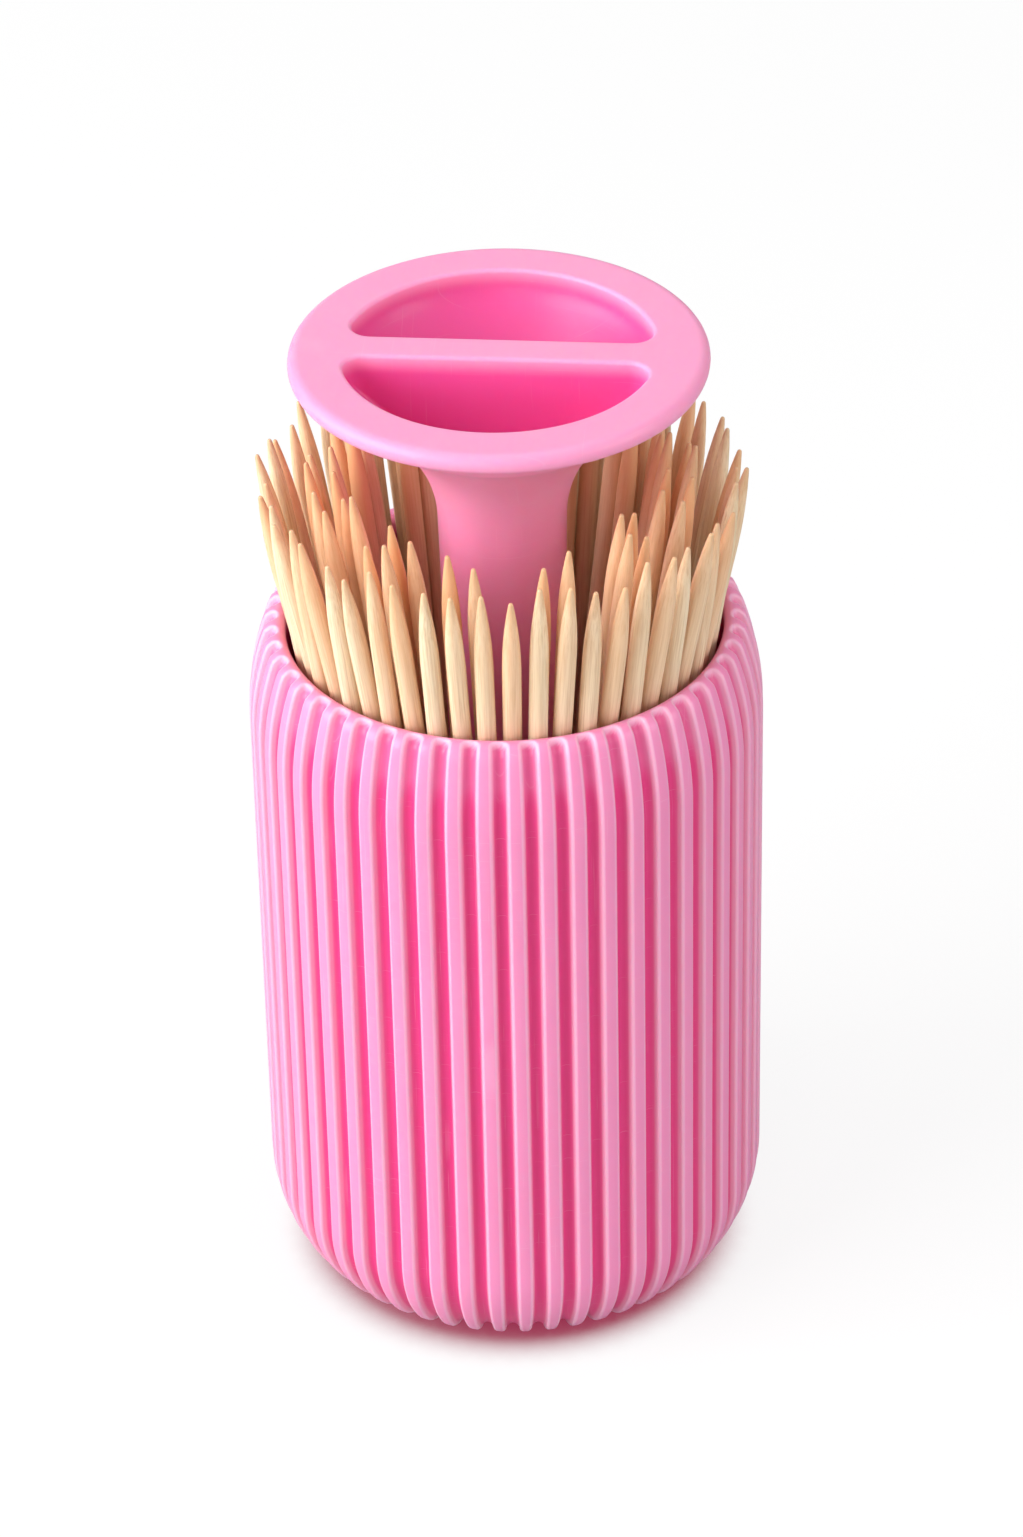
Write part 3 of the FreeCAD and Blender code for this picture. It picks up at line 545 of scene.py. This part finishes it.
def bridge(faces, low, high):
    """Quads between two rows of as many points, low to high with the outside on the right."""
    count = len(low)
    for k in range(count):
        faces.append((low[k], low[(k + 1) % count], high[(k + 1) % count], high[k]))


def turned_ring(radius, z, count=TURN_STEPS):
    return [(radius * math.cos(2 * math.pi * k / count), radius * math.sin(2 * math.pi * k / count), z)
            for k in range(count)]


def pocket_outline(side):
    """Outline of a D-shaped pocket with its inward normals, anticlockwise from above."""
    centre_y = GRIP_BAR_HALF + POCKET_CORNER
    centre_x = math.sqrt((POCKET_RADIUS - POCKET_CORNER) ** 2 - centre_y ** 2)
    lean = math.atan2(centre_y, centre_x)
    points = []
    for k in range(BAR_STEPS):
        x = -centre_x + 2 * centre_x * k / BAR_STEPS
        points.append((x, GRIP_BAR_HALF, 0.0, 1.0))
    for k in range(CORNER_STEPS):
        a = -math.pi / 2 + (lean + math.pi / 2) * k / CORNER_STEPS
        points.append((centre_x + POCKET_CORNER * math.cos(a), centre_y + POCKET_CORNER * math.sin(a),
                       -math.cos(a), -math.sin(a)))
    for k in range(ROUND_STEPS):
        a = lean + (math.pi - 2 * lean) * k / ROUND_STEPS
        points.append((POCKET_RADIUS * math.cos(a), POCKET_RADIUS * math.sin(a),
                       -math.cos(a), -math.sin(a)))
    for k in range(CORNER_STEPS):
        a = math.pi - lean + (lean + math.pi / 2) * k / CORNER_STEPS
        points.append((-centre_x + POCKET_CORNER * math.cos(a), centre_y + POCKET_CORNER * math.sin(a),
                       -math.cos(a), -math.sin(a)))
    line = np.array(points)
    if side < 0:
        line *= -1
    return line


def bowl_height(x, y):
    """Height of the pockets' round floor: nearly flat in the middle, rising to the disc."""
    across = np.hypot(x, y) - BOWL_ARC_CENTRE[0]
    rise = HANDLE_TOP_Z + BOWL_ARC_CENTRE[1] - np.sqrt(BOWL_ARC ** 2 - across ** 2)
    flat = HANDLE_TOP_Z - POCKET_DEPTH
    return flat + BOWL_BLEND * np.logaddexp(0.0, (rise - flat) / BOWL_BLEND)


def between(low, high, share):
    return tuple(a + (b - a) * share for a, b in zip(low, high))


def handle_section():
    """Outside of the handle from the stem's foot up to the disc's top, and the disc's
    underside height."""
    under = HANDLE_TOP_Z - DISC_THICKNESS
    edge = DISC_THICKNESS / 2
    foot, neck = (STEM_FOOT_RADIUS, STEM_BASE_Z), (NECK_RADIUS, NECK_Z)
    section = [between(foot, neck, share) for share in (0.0, 0.2, 0.4, 0.6, 0.8, 1.0)]
    section += arc_points(neck, FLARE_END, FLARE_ARC, -1, 20)
    section += arc_points(FLARE_END, CONE_LOW, CONE_EDGE_ARC, 1, 4)
    section += [between(CONE_LOW, CONE_HIGH, share) for share in (0.33, 0.66, 1.0)]
    section += [(CONE_BLEND_X, under - CONE_BLEND_DROP)]
    section += [(x, under) for x in (*UNDERSIDE_X, DISC_RADIUS - edge)]
    section += arc_points(section[-1], (DISC_RADIUS, under + edge), edge, 1, 7)
    section += arc_points(section[-1], (DISC_RADIUS - edge, HANDLE_TOP_Z), edge, 1, 7)
    section += [(DISC_RADIUS - edge - DISC_TOP_STRIP, HANDLE_TOP_Z)]
    return section, under


def handle_mesh():
    """The whole moulding: turned outside and bore, and the two pockets sunk in the disc."""
    verts, faces = [], []
    section, under = handle_section()
    rows = [add_ring(verts, turned_ring(r, z)) for r, z in section]
    for low, high in zip(rows, rows[1:]):
        bridge(faces, low, high)
    bore_top = STEM_BASE_Z + STEM_BORE_HEIGHT
    inner = [add_ring(verts, turned_ring(STEM_BORE_RADIUS, z))
             for z in (STEM_BASE_Z, bore_top - STEM_BORE_RADIUS)]
    bridge(faces, inner[0], rows[0])
    bridge(faces, inner[1], inner[0])
    tip = add_ring(verts, [(0.0, 0.0, bore_top)])[0]
    for k in range(TURN_STEPS):
        faces.append((inner[1][(k + 1) % TURN_STEPS], inner[1][k], tip))
    loops = [rows[-1]]
    above_pockets = len(verts)
    for side in (1, -1):
        line = pocket_outline(side)
        place, inward = line[:, :2], line[:, 2:]

        def row(offset, heights):
            at = place + inward * offset
            level = heights(at) if callable(heights) else np.full(len(at), heights)
            return add_level_ring(verts, at, level)

        rings = [row(-POCKET_EDGE_ROUND - POCKET_TOP_STRIP, HANDLE_TOP_Z)]
        for k in range(7):
            a = math.pi / 2 * k / 6
            rings.append(row(-POCKET_EDGE_ROUND * (1 - math.sin(a)),
                             HANDLE_TOP_Z - POCKET_EDGE_ROUND * (1 - math.cos(a))))
        high = HANDLE_TOP_Z - POCKET_EDGE_ROUND
        low = lambda at: bowl_height(at[:, 0], at[:, 1]) + POCKET_FLOOR_ROUND
        for share in (0.5, 1.0):
            rings.append(row(0.0, lambda at: high * (1 - share) + low(at) * share))
        for k in range(1, 7):
            a = math.pi / 2 * k / 6
            rise = POCKET_FLOOR_ROUND * (1 - math.sin(a))
            rings.append(row(POCKET_FLOOR_ROUND * (1 - math.cos(a)),
                             lambda at: bowl_height(at[:, 0], at[:, 1]) + rise))
        last = place + inward * POCKET_FLOOR_ROUND
        middle = np.array([0.0, side * POCKET_MIDDLE_Y])
        for k in range(1, FLOOR_STEPS):
            at = middle + (last - middle) * (1 - k / FLOOR_STEPS)
            rings.append(add_level_ring(verts, at, bowl_height(at[:, 0], at[:, 1])))
        centre = add_ring(verts, [(0.0, float(middle[1]), float(bowl_height(0.0, middle[1])))])[0]
        for outer, inner_ring in zip(rings, rings[1:]):
            bridge(faces, outer, inner_ring)
        count = len(rings[-1])
        for k in range(count):
            faces.append((rings[-1][k], rings[-1][(k + 1) % count], centre))
        loops.append(rings[0])
    mesh = bpy.data.meshes.new("handle")
    mesh.from_pydata(verts, [], faces)
    # Painted shade: the pockets darken with depth below the top, fully by POCKET_SHADE_DEPTH, and the stem
    # darkens below the disc by up to STEM_SHADE.
    sunk = [(HANDLE_TOP_Z - v[2]) / POCKET_SHADE_DEPTH for v in verts[above_pockets:]]
    stem_shade_ramp = [min(max((under - v[2]) / STEM_SHADE_REACH, 0.0), 1.0) for v in verts[:above_pockets]]
    sunk = [STEM_SHADE * s for s in stem_shade_ramp] + sunk
    mesh.attributes.new("deep", "FLOAT", "POINT").data.foreach_set("value", sunk)
    work = bmesh.new()
    work.from_mesh(mesh)
    work.verts.ensure_lookup_table()
    rim = []
    for loop in loops:
        for k in range(len(loop)):
            pair = (work.verts[loop[k]], work.verts[loop[(k + 1) % len(loop)]])
            rim.append(work.edges.get(pair))
    filled = bmesh.ops.triangle_fill(work, edges=rim, use_beauty=True, normal=(0, 0, 1))
    for item in filled["geom"]:
        if isinstance(item, bmesh.types.BMFace) and item.normal.z < 0:
            item.normal_flip()
    work.to_mesh(mesh)
    work.free()
    return mesh


handle_plastic = moulded_plastic("handle_plastic", HANDLE_PINK, HANDLE_CLOUD_AND_SHADE_PINK, 0.42, 0.05, 0.3,
                                 2.4 * MM, milk=0.60, gloss=0.08)
handle = link_object("handle", handle_mesh())
handle.data.materials.append(handle_plastic)
smooth(handle, SHARP_DEGREES)
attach(handle, "lift")
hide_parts("lift_handle")


# The toothpicks. Round birch sticks, pointed at both ends, that stand on the tray and lean
# outwards: single ones against the cup's mouth, pairs between them, and bundles behind.
# Those before the stem have been taken.

PICK_RADIUS = 1.05 * MM
PICK_LENGTH = 65.0 * MM
PICK_TAPER = 10.5 * MM
PICK_LENGTH_SPREAD = 1.0 * MM
PICK_ROWS = 26
RIM_FOOT_RADIUS = 15.56 * MM
RIM_CLEARANCE = 0.356 * MM
# Painted shade: the row warmths below give sticks further inside the cup a warmer, darker tint.
RIM_SHADE_WARMTH = 0.22
SLANT_FOOT_RADIUS = 13.04 * MM
SLANT_CLEARANCE = 0.606 * MM
SLANT_SHADE_WARMTH = 0.45
INNER_FOOT_RADIUS = 11.2 * MM
INNER_LEAN = math.radians(8.48)
INNER_SPACING = 2.665 * MM
INNER_SHADE_WARMTH = 0.65
MIDDLE_FOOT_RADIUS = 9.38 * MM
MIDDLE_LEAN = math.radians(7.72)
MIDDLE_SPACING = 2.276 * MM
MIDDLE_SHADE_WARMTH = 0.80
FRONT_GAP = math.radians(57.0)
TRAY_SLOPE = math.radians(12.0)
TRAY_TROUGH = (16.3 * MM, 36.7 * MM)
FOOT_GAP = 0.2 * MM
FRONT = -math.pi / 2
LENGTH_STEP = math.radians(137.508)
WOOD_PALE = (0.930, 0.785, 0.560, 1.0)
WOOD_GRAIN = (0.540, 0.345, 0.175, 1.0)
WOOD_BAND = (0.880, 0.660, 0.405, 1.0)
WOOD_WARM_TONE_AND_SHADE = (0.900, 0.460, 0.225, 1.0)
WOOD_RUBBED = (0.720, 0.430, 0.220, 1.0)


def pick_template():
    """One toothpick standing on the origin, with its own place kept as an attribute."""
    section = [(0.0, 0.0), (0.14, 0.0), (0.215, 0.008), (0.262, 0.025), (0.30, 0.050), (0.41, 0.12),
               (0.55, 0.22), (0.68, 0.34), (0.80, 0.46), (0.895, 0.59), (0.96, 0.73), (1.0, 0.90)]
    low = [(PICK_RADIUS * r, PICK_TAPER * z) for r, z in section]
    middle = [(PICK_RADIUS, PICK_TAPER + (PICK_LENGTH - 2 * PICK_TAPER) * s) for s in (0.25, 0.5, 0.75)]
    high = [(r, PICK_LENGTH - z) for r, z in reversed(low)]
    rings = low[1:] + middle + high[:-1]
    verts, faces = [], []
    rows = [add_ring(verts, turned_ring(r, z, 16)) for r, z in rings]
    for a, b in zip(rows, rows[1:]):
        bridge(faces, a, b)
    ends = [add_ring(verts, [(0.0, 0.0, z)])[0] for z in (0.0, PICK_LENGTH)]
    for k in range(16):
        faces.append((rows[0][(k + 1) % 16], rows[0][k], ends[0]))
        faces.append((rows[-1][k], rows[-1][(k + 1) % 16], ends[1]))
    mesh = bpy.data.meshes.new("toothpick")
    mesh.from_pydata(verts, [], faces)
    mesh.shade_smooth()
    mesh.attributes.new("grain_place", "FLOAT_VECTOR", "POINT").data.foreach_set(
        "vector", np.array(verts, np.float32).ravel())
    return link_object("toothpick", mesh)


def pick_tree():
    """Geometry Nodes: a toothpick on every point, turned and stretched as the point says."""
    tree, given, result = new_group(
        "stand_toothpicks", "GeometryNodeTree",
        [("Geometry", "NodeSocketGeometry"), ("Toothpick", "NodeSocketObject"),
         ("Thinning", "NodeSocketFloat"), ("Seed", "NodeSocketInt"), ("Wood", "NodeSocketMaterial")],
        [("Geometry", "NodeSocketGeometry")])
    pick = add_node(tree, "GeometryNodeObjectInfo", {"Object": given.outputs["Toothpick"]})
    lean = add_node(tree, "GeometryNodeInputNamedAttribute", {"Name": "lean"},
                    data_type="FLOAT_VECTOR").outputs[0]
    stretch = add_node(tree, "GeometryNodeInputNamedAttribute", {"Name": "stretch"}).outputs[0]
    serial = add_node(tree, "GeometryNodeInputNamedAttribute", {"Name": "grain_seed"}).outputs[0]
    identity = calc(tree, "MULTIPLY", serial, 1000.0)
    drawn = add_node(tree, "FunctionNodeRandomValue",
                     {"ID": identity, "Seed": given.outputs["Seed"]}, data_type="FLOAT")
    thin = calc(tree, "SUBTRACT", 1.0, calc(tree, "MULTIPLY", drawn.outputs[1], given.outputs["Thinning"]))
    scale = add_node(tree, "ShaderNodeCombineXYZ", {0: thin, 1: thin, 2: stretch}).outputs[0]
    placed = add_node(tree, "GeometryNodeInstanceOnPoints",
                      {"Points": given.outputs["Geometry"], "Instance": pick.outputs["Geometry"],
                       "Rotation": lean, "Scale": scale})
    real = add_node(tree, "GeometryNodeRealizeInstances", {"Geometry": placed.outputs[0]})
    dressed = add_node(tree, "GeometryNodeSetMaterial",
                       {"Geometry": real.outputs[0], "Material": given.outputs["Wood"]})
    tree.links.new(dressed.outputs[0], result.inputs[0])
    return tree


def birch_wood():
    """Bare birch: pale, with fine lengthwise grain, browner at the rubbed points, warmer towards
    the ends and at random, and with painted shade: a warmer tint for rows deeper in the cup.
    """
    material = bpy.data.materials.new("birch_wood")
    material.use_nodes = True
    tree = material.node_tree
    shader = tree.nodes["Principled BSDF"]
    place = add_node(tree, "ShaderNodeAttribute", attribute_name="grain_place").outputs["Vector"]
    seed = add_node(tree, "ShaderNodeAttribute", attribute_name="grain_seed").outputs["Fac"]
    shift = add_node(tree, "ShaderNodeCombineXYZ", {0: seed, 1: calc(tree, "MULTIPLY", seed, 3.7),
                                                    2: calc(tree, "MULTIPLY", seed, 1.9)}).outputs[0]
    own = add_node(tree, "ShaderNodeVectorMath", {0: place, 1: shift}, operation="ADD").outputs[0]
    fine = add_node(tree, "ShaderNodeMapping", {"Vector": own, "Scale": (5200.0, 5200.0, 120.0)})
    broad = add_node(tree, "ShaderNodeMapping", {"Vector": own, "Scale": (900.0, 900.0, 34.0)})
    grain = add_node(tree, "ShaderNodeTexNoise", {"Vector": fine.outputs[0], "Scale": 1.0,
                                                  "Detail": 3.0, "Roughness": 0.6}).outputs[0]
    bands = add_node(tree, "ShaderNodeTexNoise", {"Vector": broad.outputs[0], "Scale": 1.0,
                                                  "Detail": 2.0, "Roughness": 0.5}).outputs[0]
    lines = add_node(tree, "ShaderNodeMapRange",
                     {"Value": grain, "From Min": 0.42, "From Max": 0.72}).outputs[0]
    wide = add_node(tree, "ShaderNodeMapRange",
                    {"Value": bands, "From Min": 0.32, "From Max": 0.70}).outputs[0]
    pale = add_node(tree, "ShaderNodeMix",
                    {0: calc(tree, "MULTIPLY", lines, 0.72), 6: WOOD_PALE, 7: WOOD_GRAIN},
                    data_type="RGBA").outputs[2]
    banded = add_node(tree, "ShaderNodeMix",
                      {0: calc(tree, "MULTIPLY", wide, 0.45), 6: pale, 7: WOOD_BAND},
                      data_type="RGBA").outputs[2]
    # Painted shade in part: the warm tint grows for rows deeper in the cup; its random part and its rise
    # towards the ends are the wood's own tone.
    warmth = add_node(tree, "ShaderNodeAttribute", attribute_name="warmth").outputs["Fac"]
    height = add_node(tree, "ShaderNodeSeparateXYZ", {0: place}).outputs[2]
    from_middle = calc(tree, "ABSOLUTE", calc(tree, "SUBTRACT", height, PICK_LENGTH / 2))
    from_tip = calc(tree, "SUBTRACT", PICK_LENGTH / 2, from_middle)
    upper = add_node(tree, "ShaderNodeMapRange",
                     {"Value": from_tip, "From Min": 2.0 * MM, "From Max": 22.0 * MM,
                      "To Min": 1.0, "To Max": 0.0}, interpolation_type="SMOOTHSTEP").outputs[0]
    tone = calc(tree, "MULTIPLY", warmth, calc(tree, "ADD", 0.45, calc(tree, "MULTIPLY", upper, 0.55)))
    toned = add_node(tree, "ShaderNodeMix", {0: tone, 6: banded, 7: WOOD_WARM_TONE_AND_SHADE},
                     data_type="RGBA").outputs[2]
    rubbed = add_node(tree, "ShaderNodeMapRange",
                      {"Value": from_tip, "From Min": 0.0, "From Max": 3.5 * MM,
                       "To Min": 0.60, "To Max": 0.0}).outputs[0]
    colour = add_node(tree, "ShaderNodeMix", {0: rubbed, 6: toned, 7: WOOD_RUBBED},
                      data_type="RGBA").outputs[2]
    rough = calc(tree, "SUBTRACT", 0.62, calc(tree, "MULTIPLY", rubbed, 0.30))
    bump = add_node(tree, "ShaderNodeBump", {"Height": grain, "Strength": 0.35, "Distance": 0.00004})
    tree.links.new(colour, shader.inputs["Base Color"])
    tree.links.new(rough, shader.inputs["Roughness"])
    tree.links.new(bump.outputs[0], shader.inputs["Normal"])
    shader.inputs["Subsurface Weight"].default_value = 0.12
    shader.inputs["Subsurface Radius"].default_value = (1.0, 0.5, 0.25)
    shader.inputs["Subsurface Scale"].default_value = 0.5 * MM
    return material


def tray_surface(radius):
    """Height of the tray's cone at a distance from the axis."""
    return TRAY_TROUGH[1] + (TRAY_TROUGH[0] - radius) * math.tan(TRAY_SLOPE)


def resting_lean(foot_radius, clearance):
    """Lean of a pick that stands at foot_radius and leans on the cup's mouth."""
    across = CUP_BORE_RADIUS - foot_radius
    rise = RIM_Z - tray_surface(foot_radius) - FOOT_GAP
    reach = math.hypot(across, rise)
    return math.atan2(across, rise) - math.asin((PICK_RADIUS + clearance) / reach)


def standing(serial, foot_radius, angle, offset, lean, warmth):
    """Foot, turn, stretch, number and warm tint of one toothpick whose foot stands offset to
    the side of the line at angle. The tint is painted shade given by the row, plus a random
    change of the wood's own tone."""
    along = math.sqrt(foot_radius ** 2 - offset ** 2)
    height = tray_surface(foot_radius) + FOOT_GAP
    foot = Matrix.Rotation(angle, 3, "Z") @ Vector((along, offset, height))
    turn = (Matrix.Rotation(angle, 3, "Z") @ Matrix.Rotation(lean, 3, "Y")
            @ Matrix.Rotation(serial * 2.4, 3, "Z")).to_euler()
    stretch = (PICK_LENGTH + PICK_LENGTH_SPREAD * math.sin(serial * LENGTH_STEP)) / PICK_LENGTH
    warmth += 0.22 * math.sin(serial * 2.9 + 0.6)
    return foot, turn, stretch, serial, min(max(warmth, 0.0), 1.0)


def stand_picks(name, sticks):
    """The toothpicks of one body as one mesh."""
    mesh = bpy.data.meshes.new(name)
    mesh.from_pydata([tuple(s[0]) for s in sticks], [], [])
    mesh.attributes.new("lean", "FLOAT_VECTOR", "POINT").data.foreach_set(
        "vector", np.array([tuple(s[1]) for s in sticks], np.float32).ravel())
    mesh.attributes.new("stretch", "FLOAT", "POINT").data.foreach_set("value", [s[2] for s in sticks])
    mesh.attributes.new("grain_seed", "FLOAT", "POINT").data.foreach_set(
        "value", [s[3] * 0.137 + 0.05 for s in sticks])
    mesh.attributes.new("warmth", "FLOAT", "POINT").data.foreach_set("value", [s[4] for s in sticks])
    picks = shaped_by(link_object("picks_" + name, mesh), PICK_TREE, {
        "Toothpick": template, "Thinning": 0.05, "Seed": 7, "Wood": wood})
    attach(picks, name)
    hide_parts(name)


template = pick_template()
wood = birch_wood()
PICK_TREE = pick_tree()
pitch = 2 * math.pi / PICK_ROWS
rim_lean = resting_lean(RIM_FOOT_RADIUS, RIM_CLEARANCE)
slant_lean = resting_lean(SLANT_FOOT_RADIUS, SLANT_CLEARANCE)
for index in range(PICK_ROWS):
    stand_picks("rim_pick_%02d" % (index + 1),
                [standing(index, RIM_FOOT_RADIUS, FRONT + index * pitch, 0.0, rim_lean, RIM_SHADE_WARMTH)])
for pair in range(PICK_ROWS // 2):
    members = [2 * pair, 2 * pair + 1]
    stand_picks("slant_picks_%02d" % (pair + 1),
                [standing(PICK_ROWS + k, SLANT_FOOT_RADIUS, FRONT + (k + 0.5) * pitch, 0.0,
                          slant_lean, SLANT_SHADE_WARMTH) for k in members])
for bundle in range(PICK_ROWS // 2):
    turn = (2 * bundle + 1.5) * pitch
    serial = 2 * PICK_ROWS + 4 * bundle
    angle = FRONT + turn
    sticks = [standing(serial + k, INNER_FOOT_RADIUS, angle, offset, INNER_LEAN, INNER_SHADE_WARMTH)
              for k, offset in enumerate((-INNER_SPACING / 2, INNER_SPACING / 2))]
    if min(turn, 2 * math.pi - turn) > FRONT_GAP / 2:
        sticks += [standing(serial + 2 + k, MIDDLE_FOOT_RADIUS, angle, offset, MIDDLE_LEAN, MIDDLE_SHADE_WARMTH)
                   for k, offset in enumerate((0.0, MIDDLE_SPACING))]
    stand_picks("inner_picks_%02d" % (bundle + 1), sticks)
bpy.data.objects.remove(template)


# The studio: a white floor that keeps a soft shadow and a painted pink contact shade, a broad
# key light from the upper left with weaker ones from the side, the right, the front and above,
# and the camera where the photograph was taken from.

AIM = Vector((0.4 * MM, 0.0, 62.704 * MM))
CAMERA_DISTANCE = 624.0 * MM
CAMERA_ELEVATION = math.radians(34.492)
CAMERA_AZIMUTH = math.radians(5.4)
CAMERA_ROLL = math.radians(-1.24)
FOCAL_LENGTH = 132.85
FLOOR_HALF = 2.5
PAPER_LIT = (1.000, 1.000, 1.000, 1.0)
PAPER_GREY = (0.500, 0.500, 0.500, 1.0)
PAPER_WHITE = (0.920, 0.920, 0.920, 1.0)
PAINTED_CONTACT_SHADE = (0.340, 0.020, 0.070, 1.0)
CONTACT_REACH = 6.5 * MM
AIR_STRENGTH = 0.45


def white_floor():
    """White paper: lit evenly for the camera, with a soft shadow and a painted pink contact
    shade close to what stands on it."""
    material = bpy.data.materials.new("white_floor")
    material.use_nodes = True
    tree = material.node_tree
    tree.nodes.clear()
    ray = add_node(tree, "ShaderNodeLightPath")
    seen = ray.outputs["Is Camera Ray"]
    # Painted shade: ambient occlusion tints the camera's view of the paper dark pink close to what stands
    # on it.
    near = add_node(tree, "ShaderNodeAmbientOcclusion", {"Distance": CONTACT_REACH},
                    samples=24).outputs["AO"]
    covered = calc(tree, "SUBTRACT", 1.0, calc(tree, "MINIMUM", calc(tree, "MULTIPLY", near, 1.25), 1.0))
    contact = calc(tree, "MINIMUM", calc(tree, "MULTIPLY", calc(tree, "POWER", covered, 2.2), 2.3), 1.0)
    glow = add_node(tree, "ShaderNodeMix", {0: contact, 6: PAPER_LIT, 7: PAINTED_CONTACT_SHADE},
                    data_type="RGBA").outputs[2]
    shade = add_node(tree, "ShaderNodeMix", {0: seen, 6: PAPER_GREY, 7: PAPER_WHITE},
                     data_type="RGBA").outputs[2]
    paper = add_node(tree, "ShaderNodeBsdfDiffuse", {"Color": shade})
    lit = add_node(tree, "ShaderNodeEmission", {"Color": glow, "Strength": 1.0})
    mix = add_node(tree, "ShaderNodeMixShader", {0: calc(tree, "MULTIPLY", seen, 0.84),
                                                 1: paper.outputs[0], 2: lit.outputs[0]})
    add_node(tree, "ShaderNodeOutputMaterial", {"Surface": mix.outputs[0]})
    return material


def plane(name, half, z):
    mesh = bpy.data.meshes.new(name)
    mesh.from_pydata([(-half, -half, z), (half, -half, z), (half, half, z), (-half, half, z)], [],
                     [(0, 1, 2, 3)])
    return link_object(name, mesh)


def softbox(name, place, aim, size, power):
    lamp = bpy.data.lights.new(name, "AREA")
    lamp.shape = "RECTANGLE"
    lamp.size, lamp.size_y = size
    lamp.energy = power
    obj = bpy.data.objects.new(name, lamp)
    bpy.context.scene.collection.objects.link(obj)
    obj.location = place
    obj.rotation_euler = (Vector(aim) - Vector(place)).to_track_quat("-Z", "Y").to_euler()


floor = plane("floor", FLOOR_HALF, 0.0)
floor.data.materials.append(white_floor())
softbox("key_light", (-0.66, -0.44, 0.52), (0.0, 0.0, 0.06), (0.65, 0.65), 8.3)
softbox("side_light", (-0.85, -0.06, 0.30), (0.0, 0.0, 0.06), (0.40, 0.50), 2.6)
softbox("fill_light", (0.80, -0.26, 0.36), (0.0, 0.0, 0.06), (0.45, 0.50), 2.3)
softbox("front_light", (-0.10, -0.90, 0.34), (0.0, 0.0, 0.09), (0.35, 0.30), 0.9)
softbox("top_light", (0.05, 0.05, 0.90), (0.0, 0.0, 0.06), (0.60, 0.60), 1.3)

world = bpy.data.worlds.new("studio_air")
bpy.context.scene.world = world
world.use_nodes = True
tree = world.node_tree
background = tree.nodes["Background"]
ray = add_node(tree, "ShaderNodeLightPath")
seen = ray.outputs["Is Camera Ray"]
strength = add_node(tree, "ShaderNodeMix", {0: seen, 2: AIR_STRENGTH, 3: 1.0}, data_type="FLOAT")
tree.links.new(strength.outputs[0], background.inputs["Strength"])
background.inputs["Color"].default_value = (1.0, 1.0, 1.0, 1.0)

view = bpy.data.cameras.new("photo_view")
view.sensor_fit = "VERTICAL"
view.sensor_height = 36.0
view.lens = FOCAL_LENGTH
view.clip_start = 0.01
camera = bpy.data.objects.new("photo_view", view)
bpy.context.scene.collection.objects.link(camera)
aim = Matrix.Rotation(CAMERA_AZIMUTH, 3, "Z") @ AIM
back = Vector((math.cos(CAMERA_ELEVATION) * math.sin(CAMERA_AZIMUTH),
               -math.cos(CAMERA_ELEVATION) * math.cos(CAMERA_AZIMUTH), math.sin(CAMERA_ELEVATION)))
camera.location = aim + back * CAMERA_DISTANCE
look = (-back).to_track_quat("-Z", "Y") @ Quaternion((0.0, 0.0, 1.0), CAMERA_ROLL)
camera.rotation_euler = look.to_euler()
bpy.context.scene.camera = camera
bpy.context.scene.view_settings.view_transform = "Standard"
